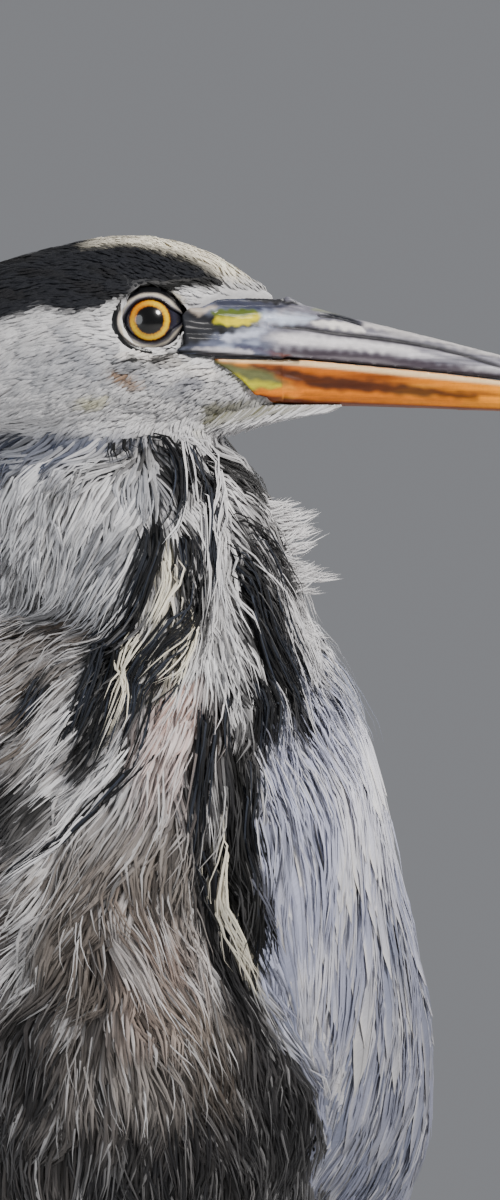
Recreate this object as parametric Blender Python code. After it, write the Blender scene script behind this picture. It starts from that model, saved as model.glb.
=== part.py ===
"""A life-size grey heron, standing hunched with its neck folded and its head turned to its left.

The body faces -Y, its left side is +X and the floor is Z = 0. Tables are in millimetres; MM turns
them into metres as each piece is made.
"""

import math

import bmesh
import bpy
from mathutils import Matrix, Vector

MM = 0.001
GAP = 0.35  # the thin cut between neighbouring pieces

# ---- driving dimensions -------------------------------------------------------------------------
EYE_HEIGHT = 590.0
HEAD_CENTRE = (13.2, -60.0)  # where the line between the eyes crosses the head's middle
HEAD_YAW = 0.0  # degrees from +X to the bill: square to the left
EYE_RADIUS = 9.2
EYE_SIDE = 11.0  # from the head's middle plane to an eyeball's centre
HEEL_HEIGHT = 153.0
FOOT_SIDE = 37.0  # from the middle plane to a foot

# The body from wing tips to neck: y, z, half-width, half-depth, the middle's x, yaw of its front.
BODY = (
    (246, 124, 12, 5, 0, 0),
    (207, 167, 30, 12, 0, 0),
    (168, 211, 41, 20, 0, 0),
    (130, 259, 51, 33, 0, 0),
    (96, 300, 63, 48, 0, 0),
    (58, 345, 73, 64, 0, 0),
    (22, 392, 76, 75, 0, 0),
    (-5, 440, 67, 77, 1, 4),
    (-22, 480, 60, 74, 3, 10),
    (-35, 513, 49, 67, 6, 21),
    (-42, 537, 40, 55, 6, 26),
    (-43, 552, 37, 43, 3, 25),
    (-42, 563, 27, 29, -2, 24),
    (-40, 568, 14, 16, -6, 24),
)
TAIL_BASE, NECK_TOP = 3, 13  # the trunk and neck run between these rows of BODY
VENT = ((140, 231, 36, 18, 6, 0), (162, 205, 19, 9, 6, 0))  # the undertail coverts, past TAIL_BASE
# The folded wing on those rows: row, front edge and back edge in degrees from the breast, thickness.
WING = (
    (0, 112, 170, 1.8),
    (1, 104, 172, 6),
    (2, 99, 172, 11),
    (3, 96, 170, 14),
    (4, 88, 168, 16),
    (5, 72, 165, 17),
    (6, 46, 161, 16),
    (7, 27, 154, 13),
    (8, 27, 140, 11),
    (9, 66, 110, 2.2),
)

# The head along its own axis from nape to brow: place, top, bottom, half-width; 0 is the eye.
HEAD = (
    (-65, 3, -13, 7),
    (-59, 9, -22, 14),
    (-47, 15, -30, 20),
    (-33, 19.6, -34, 23),
    (-18, 23.2, -36, 23),
    (-5, 24.6, -35.5, 20.4),
    (7, 23.2, -33, 17.4),
    (17, 19.6, -30, 14.6),
    (27, 13.6, -27, 12.2),
    (36, 7.2, -24, 10.2),
)
# The bill from brow to tip: place, ridge, closing line, lower edge, half-width.
BILL = (
    (36, 6.2, -9.8, -22.6, 9.6),
    (54, 1.2, -11.4, -22.8, 7.7),
    (80, -5.2, -14.0, -23.6, 5.8),
    (106, -12.0, -17.3, -24.6, 4.2),
    (130, -18.6, -21.0, -25.4, 2.7),
    (148, -23.6, -24.4, -26.3, 1.3),
    (157, -26.0, -26.3, -26.8, 0.5),
)
COLOURS = {
    "white": (0.62, 0.61, 0.60),
    "pale_grey": (0.42, 0.43, 0.47),
    "slate": (0.20, 0.21, 0.24),
    "black": (0.018, 0.019, 0.023),
    "horn_grey": (0.36, 0.35, 0.37),
    "orange": (0.55, 0.22, 0.06),
    "iris": (0.80, 0.42, 0.02),
    "leg": (0.23, 0.19, 0.12),
}


def clear_scene():
    for old in list(bpy.data.objects):
        bpy.data.objects.remove(old)


def material(name, roughness=0.7):
    made = bpy.data.materials.get(name)
    if made is None:
        made = bpy.data.materials.new(name)
        made.use_nodes = True
        shader = made.node_tree.nodes["Principled BSDF"]
        shader.inputs["Base Color"].default_value = (*COLOURS[name], 1)
        shader.inputs["Roughness"].default_value = roughness
        shader.inputs["Metallic"].default_value = 0.0
    return made


def new_object(name, mesh, finish, collection):
    made = bpy.data.objects.new(name, mesh)
    collection.objects.link(made)
    if finish:
        mesh.materials.append(material(finish, 0.35 if finish in ("horn_grey", "orange") else 0.7))
    mesh.shade_smooth()
    mesh.set_sharp_from_angle(angle=math.radians(40))
    return made


# ---- lofts --------------------------------------------------------------------------------------
def smooth_rows(rows, steps):
    """The rows of a table with steps - 1 more between each pair, along a smooth curve."""
    found = []
    for i in range(len(rows) - 1):
        ends = rows[max(i - 1, 0)], rows[i], rows[i + 1], rows[min(i + 2, len(rows) - 1)]
        columns = list(zip(*ends))
        for k in range(steps):
            t = k / steps
            row = []
            for before, a, b, after in columns:
                slope, turn = (b - before) / 2, (after - a) / 2
                bend = 3 * (b - a) - 2 * slope - turn
                row.append(a + t * (slope + t * (bend + t * (2 * (a - b) + slope + turn))))
            found.append(tuple(row))
    found.append(tuple(rows[-1]))
    return found


def loft(rings):
    """A closed mesh through rings of points in millimetres, with flat ends and faces pointing out."""
    bm = bmesh.new()
    made = [[bm.verts.new(Vector(p) * MM) for p in ring] for ring in rings]
    for first, second in zip(made, made[1:]):
        for i in range(len(first)):
            j = (i + 1) % len(first)
            bm.faces.new((first[i], first[j], second[j], second[i]))
    bm.faces.new(made[0][::-1])
    bm.faces.new(made[-1])
    bmesh.ops.triangulate(bm, faces=bm.faces)  # a bent four-sided face would be split anew at each cut
    bmesh.ops.recalc_face_normals(bm, faces=bm.faces)
    if bm.calc_volume(signed=True) < 0:
        bmesh.ops.reverse_faces(bm, faces=bm.faces)
    mesh = bpy.data.meshes.new("loft")
    bm.to_mesh(mesh)
    bm.free()
    return mesh


def tube_rings(rows, sides, floor=None):
    """Rings round a path: each row is x, y, z, half-width, half-height. A floor flattens what is below it."""
    rings = []
    for i, row in enumerate(rows):
        here = Vector(row[:3])
        along = Vector(rows[min(i + 1, len(rows) - 1)][:3]) - Vector(rows[max(i - 1, 0)][:3])
        side = Vector((0, 0, 1)).cross(along)
        side = side.normalized() if side.length > 0.05 * along.length else Vector((1, 0, 0))
        up = along.cross(side).normalized()
        ring = []
        for k in range(sides):
            turn = 2 * math.pi * (k + 0.5) / sides
            point = here + side * row[3] * math.cos(turn) + up * row[4] * math.sin(turn)
            if floor is not None:
                point.z = max(point.z, floor)
            ring.append(point)
        rings.append(ring)
    return rings


# ---- the body's own coordinates -----------------------------------------------------------------
def body_frame(rows, i):
    """The centre of row i, its sideways and frontward directions and its half sizes."""
    y, z, wide, deep, x, yaw = rows[i]
    ahead, behind = rows[min(i + 1, len(rows) - 1)], rows[max(i - 1, 0)]
    along = Vector((0, ahead[0] - behind[0], ahead[1] - behind[1])).normalized()
    turn = math.radians(yaw)
    side = Vector((math.cos(turn), math.sin(turn), 0))
    front = along.cross(Vector((1, 0, 0)))
    front = front if front.y < 0 else -front
    front = Vector((math.sin(turn), front.y * math.cos(turn), front.z)).normalized()
    return Vector((x, y, z)), side, front, wide, deep


def body_point(frame, angle, out=0.0):
    """A point on the row's outline, angle degrees round from its front towards +X, moved outwards."""
    centre, side, front, wide, deep = frame
    turn = math.radians(angle)
    return centre + side * (wide + out) * math.sin(turn) + front * (deep + out) * math.cos(turn)


def neck_cleft(height, angle):
    """How far the parting of the foreneck feathers sinks into the outline, in millimetres."""
    up = math.exp(-(((height - 522) / 34) ** 2))
    return 5.0 * up * math.exp(-((angle / 11) ** 2))


def head_point(place, side, height):
    """A point in head coordinates: along the bill, towards the head's right, above the eye."""
    turn = math.radians(HEAD_YAW)
    ahead = Vector((math.cos(turn), math.sin(turn), 0))
    right = Vector((math.sin(turn), -math.cos(turn), 0))
    return Vector((*HEAD_CENTRE, EYE_HEIGHT)) + ahead * place + right * side + Vector((0, 0, height))


# ---- cutting and joining ------------------------------------------------------------------------
def boolean(target, cutter, operation):
    step = target.modifiers.new(operation.lower(), "BOOLEAN")
    step.operation = operation
    step.object = cutter
    graph = bpy.context.evaluated_depsgraph_get()
    mesh = bpy.data.meshes.new_from_object(target.evaluated_get(graph))
    target.modifiers.clear()
    target.data = mesh
    return target


def grown(mesh, by):
    """A copy of a closed mesh with its surface moved out by a few tenths of a millimetre."""
    bm = bmesh.new()
    bm.from_mesh(mesh)
    bm.normal_update()
    for vert, normal in [(v, v.normal.copy()) for v in bm.verts]:
        vert.co += normal * by * MM
    copy = bpy.data.meshes.new("grown")
    bm.to_mesh(copy)
    bm.free()
    return copy


def cut_away(target, others, helpers):
    """Cuts each neighbour, grown by the gap, out of the target."""
    for other in others:
        cutter = new_object("cutter_" + other.name, grown(other.data, GAP), None, helpers)
        boolean(target, cutter, "DIFFERENCE")
        bpy.data.objects.remove(cutter)
    return target


def keep_largest(target):
    """Drops the slivers that a cut leaves beside the main body."""
    bm = bmesh.new()
    bm.from_mesh(target.data)
    left, islands = set(bm.verts), []
    while left:
        island, todo = set(), [left.pop()]
        while todo:
            vert = todo.pop()
            island.add(vert)
            near = {edge.other_vert(vert) for edge in vert.link_edges} & left
            left -= near
            todo.extend(near)
        islands.append(island)
    islands.sort(key=len)
    bmesh.ops.delete(bm, geom=[v for island in islands[:-1] for v in island], context="VERTS")
    bm.to_mesh(target.data)
    bm.free()
    return target


def part_between(name, source, low, high, finish, collection):
    """The stretch of a closed form between two planes, each a point and a direction in millimetres."""
    bm = bmesh.new()
    bm.from_mesh(source.data)
    for plane, keep_above in ((low, True), (high, False)):
        if plane is None:
            continue
        point, normal = Vector(plane[0]) * MM, Vector(plane[1]).normalized()
        point += normal * (GAP / 2 * MM if keep_above else -GAP / 2 * MM)
        everything = bm.verts[:] + bm.edges[:] + bm.faces[:]
        cut = bmesh.ops.bisect_plane(
            bm,
            geom=everything,
            dist=1e-6,
            plane_co=point,
            plane_no=normal,
            clear_inner=keep_above,
            clear_outer=not keep_above,
        )
        rim = [e for e in cut["geom_cut"] if isinstance(e, bmesh.types.BMEdge)]
        bmesh.ops.holes_fill(bm, edges=rim, sides=0)
    bmesh.ops.triangulate(bm, faces=bm.faces)
    bmesh.ops.recalc_face_normals(bm, faces=bm.faces)
    mesh = bpy.data.meshes.new(name)
    bm.to_mesh(mesh)
    bm.free()
    return new_object(name, mesh, finish, collection)


# ---- head, bill and eyes ------------------------------------------------------------------------
def head_form(helpers):
    sides = 22
    rings = []
    for place, top, bottom, wide in smooth_rows(HEAD, 2):
        middle, tall = (top + bottom) / 2, (top - bottom) / 2
        ring = []
        for k in range(sides):
            turn = 2 * math.pi * k / sides
            narrow = 1 - 0.13 * math.sin(turn)  # the crown is narrower than the cheeks
            ring.append(head_point(place, wide * narrow * math.cos(turn), middle + tall * math.sin(turn)))
        rings.append(ring)
    return new_object("head_form", loft(rings), "white", helpers)


def mandible(name, upper, finish, collection):
    """Half of the bill: a ridge over a flat closing face, tapering to the tip."""
    across = 9
    rings = []
    for place, ridge, close, lower, wide in smooth_rows(BILL, 2):
        edge, far = (close + GAP / 2, ridge) if upper else (close - GAP / 2, lower)
        wide *= 1.0 if upper else 0.93
        ring = []
        for k in range(across):
            turn = math.pi * k / (across - 1)
            rise = math.sin(turn) ** 0.85
            ring.append(head_point(place + GAP, wide * math.cos(turn), edge + (far - edge) * rise))
        rings.append(ring)
    return new_object(name, loft(rings), finish, collection)


def eyeball(name, side, collection):
    bm = bmesh.new()
    spot = head_point(0, side * EYE_SIDE, 0) * MM
    bmesh.ops.create_uvsphere(
        bm,
        u_segments=14,
        v_segments=8,
        radius=EYE_RADIUS * MM,
        matrix=Matrix.Translation(spot) @ Matrix.Rotation(math.radians(90), 4, "X"),
    )
    mesh = bpy.data.meshes.new(name)
    bm.to_mesh(mesh)
    bm.free()
    return new_object(name, mesh, "iris", collection)


# ---- trunk, wings and tail ----------------------------------------------------------------------
def trunk_form(helpers):
    sides = 24
    rows = [*reversed(VENT), *BODY[TAIL_BASE : NECK_TOP + 1]]
    rows = smooth_rows(rows, 2)
    rings = []
    for i in range(len(rows)):
        frame = body_frame(rows, i)
        ring = []
        for k in range(sides):
            angle = 360 * k / sides - 180
            ring.append(body_point(frame, angle, -neck_cleft(rows[i][1], angle)))
        rings.append(ring)
    return new_object("trunk_form", loft(rings), "white", helpers)


def wing_form(side, helpers):
    """A folded wing: a curved shell laid on the trunk from its tip to the bend at the shoulder."""
    across = 9
    rings = []
    rows = smooth_rows(BODY[: len(WING)], 2)
    for i, (_, front_edge, back_edge, thick) in enumerate(smooth_rows(WING, 2)):
        frame = body_frame(rows, i)
        outer, inner = [], []
        for k in range(across):
            t = 2 * k / (across - 1) - 1
            angle = side * (front_edge + (back_edge - front_edge) * (t + 1) / 2)
            outer.append(body_point(frame, angle, 1 + (thick - 1) * (1 - abs(t) ** 2.6)))
            inner.append(body_point(frame, angle, -1.0))
        rings.append(outer + inner[::-1])
    return new_object("wing_form", loft(rings), "slate", helpers)


def tail(collection):
    """The closed tail: a flat blade under the wing tips, a little deeper in the middle."""
    rows = (
        (6, 118, 276, 18, 5),
        (6, 142, 250, 25, 6.5),
        (6, 176, 208, 29, 4.4),
        (6, 207, 164, 30, 2.6),
        (6, 224, 140, 25, 1.6),
        (6, 231, 130, 15, 0.9),
    )
    rings = tube_rings(smooth_rows(rows, 2), 16)
    return new_object("tail", loft(rings), "slate", collection)


def crest_plume(name, start, drift, collection):
    """One of the two long soft feathers that hang from the nape, straying sideways by drift."""
    rows = []
    for k in range(8):
        t = k / 7
        place = start[0] - 46 * math.sin(1.9 * t) * (1 - 0.25 * t)
        point = head_point(place, start[1] + drift * t, start[2] - 26 * t - 102 * t**2)
        wide = 2.6 * (1 - t) ** 0.6 + 0.5
        rows.append((*point, wide, 0.5 * wide + 0.15))
    return new_object(name, loft(tube_rings(rows, 6)), "black", collection)


# ---- legs and feet ------------------------------------------------------------------------------
def leg_points(side):
    stagger = 7.0 * side  # the left foot stands a little further forward
    ankle = Vector((FOOT_SIDE * side, 36 - stagger, 15))
    heel = Vector((39 * side, 60 - stagger * 0.6, HEEL_HEIGHT))
    knee = Vector((40 * side, 16, 338))
    return ankle, heel, knee


def limb(name, points, sizes, finish, collection, sides=9):
    """A limb along a straight line: each size is a share of the way, half-width, half-depth."""
    start, end = points
    rows = [(*(start + (end - start) * s), wide, deep) for s, wide, deep in sizes]
    return new_object(name, loft(tube_rings(rows, sides)), finish, collection)


TOES = {  # direction from straight ahead, length, thickness at the root and pads
    "inner": (-27, 62, 4.3, 2),
    "middle": (3, 82, 4.6, 4),
    "outer": (31, 70, 4.3, 4),
    "hind": (186, 44, 4.2, 1),
}


def toe_direction(degrees, side):
    turn = math.radians(degrees)
    return Vector((math.sin(turn) * side, -math.cos(turn), 0))


def foot(name, side, collection, helpers):
    ankle = leg_points(side)[0]
    root = Vector((ankle.x, ankle.y, 0))
    hub = ((0, 1.2, 6.5, 7.5), (4, 0.9, 6.8, 7.6), (9, 0.4, 5.6, 6.2), (15 - GAP, 0, 4.6, 5.2))
    rings = []
    for height, back, wide, deep in hub:
        ring = []
        for k in range(12):
            turn = 2 * math.pi * k / 12
            ring.append(root + Vector((wide * math.cos(turn), back + deep * math.sin(turn), height)))
        rings.append(ring)
    made = new_object(name, loft(rings), "leg", collection)
    for degrees, length, thick, pads in TOES.values():
        ahead = toe_direction(degrees, side)
        steps = 8
        rows = []
        for k in range(steps + 1):
            t = k / steps
            swell = 1 + 0.10 * math.cos(2 * math.pi * pads * t)
            size = thick * (1 - 0.36 * t) * swell
            spot = root + ahead * length * t
            rows.append((spot.x, spot.y, size * 0.8, size, size * 0.92))
        toe = new_object("toe", loft(tube_rings(rows, 8, floor=0.0)), "leg", helpers)
        boolean(made, toe, "UNION")
        bpy.data.objects.remove(toe)
    return made


def claw(name, side, toe, collection):
    """A curved claw, from the toe's end down to the floor."""
    degrees, length, thick, _ = TOES[toe]
    ankle = leg_points(side)[0]
    ahead = toe_direction(degrees, side)
    start = Vector((ankle.x, ankle.y, 0)) + ahead * (length + 3 * GAP)
    reach = 10.0 if toe != "hind" else 13.0
    rows = []
    for k in range(6):
        t = k / 5
        size = thick * 0.42 * (1 - t) ** 0.8 + 0.35
        lift = thick * 0.55 + 1.6 * math.sin(math.pi * t) - (thick * 0.55 - 0.6) * t**1.5
        spot = start + ahead * reach * t
        rows.append((spot.x, spot.y, max(lift, size), size, size))
    return new_object(name, loft(tube_rings(rows, 6, floor=0.0)), "black", collection)


def legs(side, word, trunk, wing, collection, helpers):
    ankle, heel, knee = leg_points(side)
    shin, up = (heel - ankle).normalized(), (knee - heel).normalized()
    foot_solid = foot("foot_" + word, side, collection, helpers)
    tarsus_sizes = ((0.0, 4.2, 4.8), (0.08, 3.7, 4.4), (0.5, 3.3, 4.1), (0.9, 3.7, 4.6), (1.0, 4.6, 5.6))
    tarsus = limb("tarsus_" + word, (ankle - shin * 2, heel - shin * 8), tarsus_sizes, "leg", collection)
    cut_away(tarsus, [foot_solid], helpers)
    heel_sizes = ((0.0, 4.7, 5.6), (0.25, 5.9, 7.2), (0.6, 5.8, 7.0), (1.0, 4.4, 5.4))
    knob = limb("heel_" + word, (heel - shin * 9.5, heel + up * 11), heel_sizes, "leg", collection)
    cut_away(knob, [tarsus], helpers)
    shank_sizes = ((0.0, 4.2, 5.2), (0.5, 4.5, 5.2), (1.0, 5.6, 6.4))
    shank = limb("shank_" + word, (heel + up * 10, heel + up * 74), shank_sizes, "leg", collection)
    cut_away(shank, [knob], helpers)
    thigh_sizes = ((0.0, 8.5, 9.5), (0.12, 12, 14), (0.42, 18, 23), (0.72, 23, 29), (1.0, 17, 20))
    thigh = limb("thigh_" + word, (heel + up * (74 + GAP), knee), thigh_sizes, "pale_grey", collection, 16)
    keep_largest(cut_away(thigh, [trunk, wing], helpers))
    for toe in TOES:
        claw(f"claw_{word}_{toe}", side, toe, collection)


# ---- assembly -----------------------------------------------------------------------------------
def build():
    heron = bpy.data.collections.new("heron")
    helpers = bpy.data.collections.new("helpers")
    bpy.context.scene.collection.children.link(heron)
    bpy.context.scene.collection.children.link(helpers)

    whole = trunk_form(helpers)
    tail_blade = tail(heron)
    cut_away(whole, [tail_blade], helpers)
    for word, side in (("left", 1), ("right", -1)):
        wing = wing_form(side, helpers)
        keep_largest(cut_away(wing, [whole, tail_blade], helpers))
        quill_cut = ((0, 150, 225), (0, -0.68, 0.73))
        part_between("wing_" + word, wing, quill_cut, None, "slate", heron)
        part_between("wing_tip_" + word, wing, None, quill_cut, "black", heron)
        legs(side, word, whole, wing, heron, helpers)

    head = head_form(helpers)
    boolean(whole, head, "UNION")
    for word, side in (("left", -1), ("right", 1)):
        cut_away(whole, [eyeball("eye_" + word, side, heron)], helpers)
    mandible("bill_upper", True, "horn_grey", heron)
    mandible("bill_lower", False, "orange", heron)

    for word, side in (("left", -1), ("right", 1)):
        nape = (-68, side * 4, -4)
        cut_away(crest_plume("crest_plume_" + word, nape, side * 10, heron), [whole], helpers)

    jaw_line = ((0, -40, 556), (0, 0.05, 1))
    bend = ((0, -40, 508), (0, 0.12, 1))
    shoulder = ((0, -20, 466), (0, 0.42, 1))
    waist = ((0, 60, 340), (0, -0.60, 0.80))
    part_between("head", whole, jaw_line, None, "white", heron)
    part_between("neck_upper", whole, bend, jaw_line, "white", heron)
    part_between("neck_lower", whole, shoulder, bend, "white", heron)
    part_between("breast", whole, waist, shoulder, "pale_grey", heron)
    part_between("rump", whole, None, waist, "white", heron)

    for helper in list(helpers.objects):
        bpy.data.objects.remove(helper)
    return heron


def centre_on_floor(collection):
    """Moves everything so that the origin lies on the floor below the middle of the whole box."""
    points = [v.co for piece in collection.objects for v in piece.data.vertices]
    low = [min(p[axis] for p in points) for axis in range(3)]
    high = [max(p[axis] for p in points) for axis in range(3)]
    shift = Matrix.Translation((-(low[0] + high[0]) / 2, -(low[1] + high[1]) / 2, -low[2]))
    for piece in collection.objects:
        piece.data.transform(shift)


clear_scene()
centre_on_floor(build())
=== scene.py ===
import math

import bmesh
import bpy
import numpy as np
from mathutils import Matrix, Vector
from mathutils.bvhtree import BVHTree
from mathutils.kdtree import KDTree


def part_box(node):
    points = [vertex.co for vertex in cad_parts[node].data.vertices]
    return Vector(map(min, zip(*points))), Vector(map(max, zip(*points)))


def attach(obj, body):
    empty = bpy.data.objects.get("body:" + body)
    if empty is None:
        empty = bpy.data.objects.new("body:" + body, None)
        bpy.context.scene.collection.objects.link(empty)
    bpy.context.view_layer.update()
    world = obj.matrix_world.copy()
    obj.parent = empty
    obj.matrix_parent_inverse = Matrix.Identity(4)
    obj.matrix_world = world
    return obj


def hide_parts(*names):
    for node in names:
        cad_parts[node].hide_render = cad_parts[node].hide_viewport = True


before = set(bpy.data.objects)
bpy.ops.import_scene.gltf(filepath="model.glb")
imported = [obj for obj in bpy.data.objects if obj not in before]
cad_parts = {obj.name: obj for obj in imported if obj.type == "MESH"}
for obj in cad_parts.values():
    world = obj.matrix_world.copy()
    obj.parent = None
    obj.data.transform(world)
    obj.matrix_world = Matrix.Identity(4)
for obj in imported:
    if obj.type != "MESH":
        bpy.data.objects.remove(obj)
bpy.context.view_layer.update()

# Lengths below are millimetres in the bird's own places: x from the middle of its body towards its left,
# y from front to back, z up from the floor. The breast looks towards -y and the bill towards +x.
# The patterns of head, neck and breast use (u, w): u along the bill from the eye, w up from the eye.
mm = 0.001
eyePlace = np.array((13.2, -71.0, 590.0))  # the bird's right eye, which is the one in front
headSide = -60.0  # y of the plane between the eyes
toneDepth, toneGain = 1.32, 1.1  # undo the way the view softens the tones
rearward = (0, 0.62, -0.78)  # the way that wings, rump and tail run


def boxMiddle(node):
    low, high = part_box(node)
    return np.array((low + high) / 2)


birdZero = np.array((boxMiddle("rump")[0], boxMiddle("eye_right")[1] - eyePlace[1] * mm, 0.0))


def toWorld(points):
    return birdZero + np.asarray(points, float) * mm


def toBird(points):
    return (np.asarray(points, float) - birdZero) / mm


def fromEye(points):
    return points[:, 0] - eyePlace[0], points[:, 2] - eyePlace[2]


# Small helpers for numbers and colours
def fade(x, low, high):  # 0 below low, 1 above high, smooth between
    t = np.clip((x - low) / (high - low), 0, 1)
    return t * t * (3 - 2 * t)


def unit(vectors):
    return vectors / np.maximum(np.linalg.norm(vectors, axis=-1, keepdims=True), 1e-9)


def colour(red, green, blue):  # screen values to the linear ones that shaders use
    c = np.array((red, green, blue), float) / 255
    return np.where(c <= 0.04045, c / 12.92, ((c + 0.055) / 1.055) ** 2.4) ** toneDepth * toneGain


def plain(tone, count):  # one colour on all the points
    return np.repeat(tone[None], count, 0)


def wobble(points, size, seed):  # soft noise from -1 to 1 with features about size millimetres across
    waves = np.random.default_rng(seed)
    total = np.zeros(len(points))
    for turn in range(7):
        way = waves.normal(size=3)
        way *= 2 * math.pi / size / np.linalg.norm(way) * waves.uniform(0.6, 1.6)
        total += np.sin(points @ way + waves.uniform(0, 6.28))
    return total / 4.2


def lineDistance(u, w, line):  # distance to a bent line, and how far along it, from 0 to 1
    best = np.full(len(u), 1e9)
    share = np.zeros(len(u))
    for i, ((au, aw), (bu, bw)) in enumerate(zip(line[:-1], line[1:])):
        du, dw = bu - au, bw - aw
        t = np.clip(((u - au) * du + (w - aw) * dw) / (du * du + dw * dw), 0, 1)
        gap = np.hypot(u - au - t * du, w - aw - t * dw)
        near = gap < best
        best = np.where(near, gap, best)
        share = np.where(near, (i + t) / (len(line) - 1), share)
    return best, share


def stroke(u, w, line, half, soft):  # a brushed mark along a line, narrowing to both ends
    gap, share = lineDistance(u, w, line)
    width = half * (0.35 + 0.65 * np.sqrt(np.clip(np.sin(math.pi * share), 0, 1)))
    return 1 - fade(gap, width - soft, width + soft)


def seam(u, w, line, low, high):  # a thin mark of one width along a line
    return 1 - fade(lineDistance(u, w, line)[0], low, high)


def oval(u, w, middle, reach, low, high):  # a soft patch
    return 1 - fade(np.hypot((u - middle[0]) / reach[0], (w - middle[1]) / reach[1]), low, high)


def area(u, w, outline, soft):  # 1 inside a closed outline, 0 outside
    gap = lineDistance(u, w, [*outline, outline[0]])[0]
    inside = np.zeros(len(u), bool)
    for (au, aw), (bu, bw) in zip(outline, [*outline[1:], outline[0]]):
        crosses = (aw > w) != (bw > w)
        inside ^= crosses & (u < au + (bu - au) * (w - aw) / (bw - aw if bw != aw else 1e-9))
    return fade(np.where(inside, gap, -gap), -soft, soft)


def resampled(line, steps):
    gaps = np.concatenate([[0], np.cumsum(np.linalg.norm(np.diff(line, axis=0), axis=1))])
    spots = np.linspace(0, gaps[-1], steps + 1)
    return np.stack([np.interp(spots, gaps, line[:, i]) for i in range(3)], 1)


def mixed(under, over, mask):
    return under + (over - under) * (mask[:, None] if np.ndim(mask) else mask)


# strokes of (colour, strength, line, half width, softness), each over the last
def painted(c, u, w, strokes):
    for tone, strength, line, half, soft in strokes:
        c = mixed(c, tone, strength * stroke(u, w, line, half, soft))
    return c


# Meshes, and the numbers on them
def placed(name, data):
    thing = bpy.data.objects.new(name, data)
    bpy.context.scene.collection.objects.link(thing)
    return thing


def read(items, key, width, kind=np.float32):  # a row of numbers for each item of a mesh
    found = np.empty(len(items) * width, kind)
    items.foreach_get(key, found)
    return found.reshape(-1, width)


def standIn(piece, material, nodes):  # a finished piece that is shown for these nodes
    piece.data.materials.append(material)
    piece.data.shade_smooth()
    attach(piece, "root")
    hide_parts(*nodes)


def pieceFromArrays(name, points, faceSets, material, colours, patches=None, barbs=None, ups=None):
    mesh = bpy.data.meshes.new(name)
    loops = np.concatenate([f.ravel() for f in faceSets]).astype(np.int32)
    sizes = np.concatenate([np.full(len(f), f.shape[1]) for f in faceSets])
    starts = np.concatenate(([0], np.cumsum(sizes)[:-1])).astype(np.int32)
    mesh.vertices.add(len(points))
    mesh.vertices.foreach_set("co", toWorld(points).astype(np.float32).ravel())
    mesh.loops.add(len(loops))
    mesh.loops.foreach_set("vertex_index", loops)
    mesh.polygons.add(len(starts))
    mesh.polygons.foreach_set("loop_start", starts)
    for layer, places in (("OFBake", patches), ("barbs", barbs)):
        if places is not None:
            mesh.uv_layers.new(name=layer).data.foreach_set("uv", places[loops].astype(np.float32).ravel())
    mesh.update(calc_edges=True)
    mesh.materials.append(material)
    addColours(mesh, colours)
    mesh.shade_smooth()
    if ups is not None:  # the upper faces are shaded nearly as the body under them, as soft feathers are
        flat = np.repeat(read(mesh.polygons, "normal", 3), sizes, 0)
        soft = unit(meshNormals(mesh)[loops] * 0.42 + ups[loops] * 0.58)
        soft = np.where((np.sum(flat * ups[loops], 1) > 0.05)[:, None], soft, flat)
        soft = np.where((np.sum(flat * soft, 1) > 0.08)[:, None], soft, flat)
        mesh.normals_split_custom_set(soft.astype(np.float32))
    piece = placed(name, mesh)
    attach(piece, "root")
    return piece


def addColours(mesh, colours):
    layer = mesh.color_attributes.new(name="plumage", type="FLOAT_COLOR", domain="POINT")
    full = np.concatenate([np.clip(colours, 0, 1), np.ones((len(colours), 1))], 1)
    layer.data.foreach_set("color", full.astype(np.float32).ravel())


def meshPoints(mesh):
    return toBird(read(mesh.vertices, "co", 3))


def meshNormals(mesh):
    return read(mesh.vertex_normals, "vector", 3).astype(float)


def setPoints(mesh, points):
    mesh.vertices.foreach_set("co", toWorld(points).astype(np.float32).ravel())
    mesh.update()


# CAD nodes as one loose mesh, each grown a little so that they run together
def nodeCopy(nodes, swell, cuts=()):
    gathered = bmesh.new()
    for node in nodes:
        part = bmesh.new()
        part.from_mesh(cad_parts[node].data)
        bmesh.ops.remove_doubles(part, verts=part.verts, dist=1e-6)
        part.normal_update()
        for vert, normal in [(v, v.normal.copy()) for v in part.verts]:
            vert.co += normal * swell * mm
        for place, away in cuts if node == "head" else ():  # what lies on the away side goes
            everything = part.verts[:] + part.edges[:] + part.faces[:]
            spot = Vector(toWorld(place))
            bmesh.ops.bisect_plane(part, geom=everything, plane_co=spot, plane_no=away, clear_outer=True)
            bmesh.ops.holes_fill(part, edges=[e for e in part.edges if e.is_boundary])
        held = bpy.data.meshes.new("held")
        part.to_mesh(held)
        part.free()
        gathered.from_mesh(held)
        bpy.data.meshes.remove(held)
    mesh = bpy.data.meshes.new("gathered")
    gathered.to_mesh(mesh)
    gathered.free()
    return mesh


def remeshed(name, mesh, voxel, rounds):  # one closed even mesh round a loose one, smoothed
    blank = placed(name, mesh)
    step = blank.modifiers.new("one skin", "REMESH")
    step.mode = "VOXEL"
    step.voxel_size = voxel * mm
    soften = blank.modifiers.new("soften", "SMOOTH")
    soften.factor = 0.5
    soften.iterations = rounds
    graph = bpy.context.evaluated_depsgraph_get()
    made = bpy.data.meshes.new_from_object(blank.evaluated_get(graph))
    made.name = name
    blank.modifiers.clear()
    blank.data = made
    bpy.data.meshes.remove(mesh)
    return blank


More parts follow.
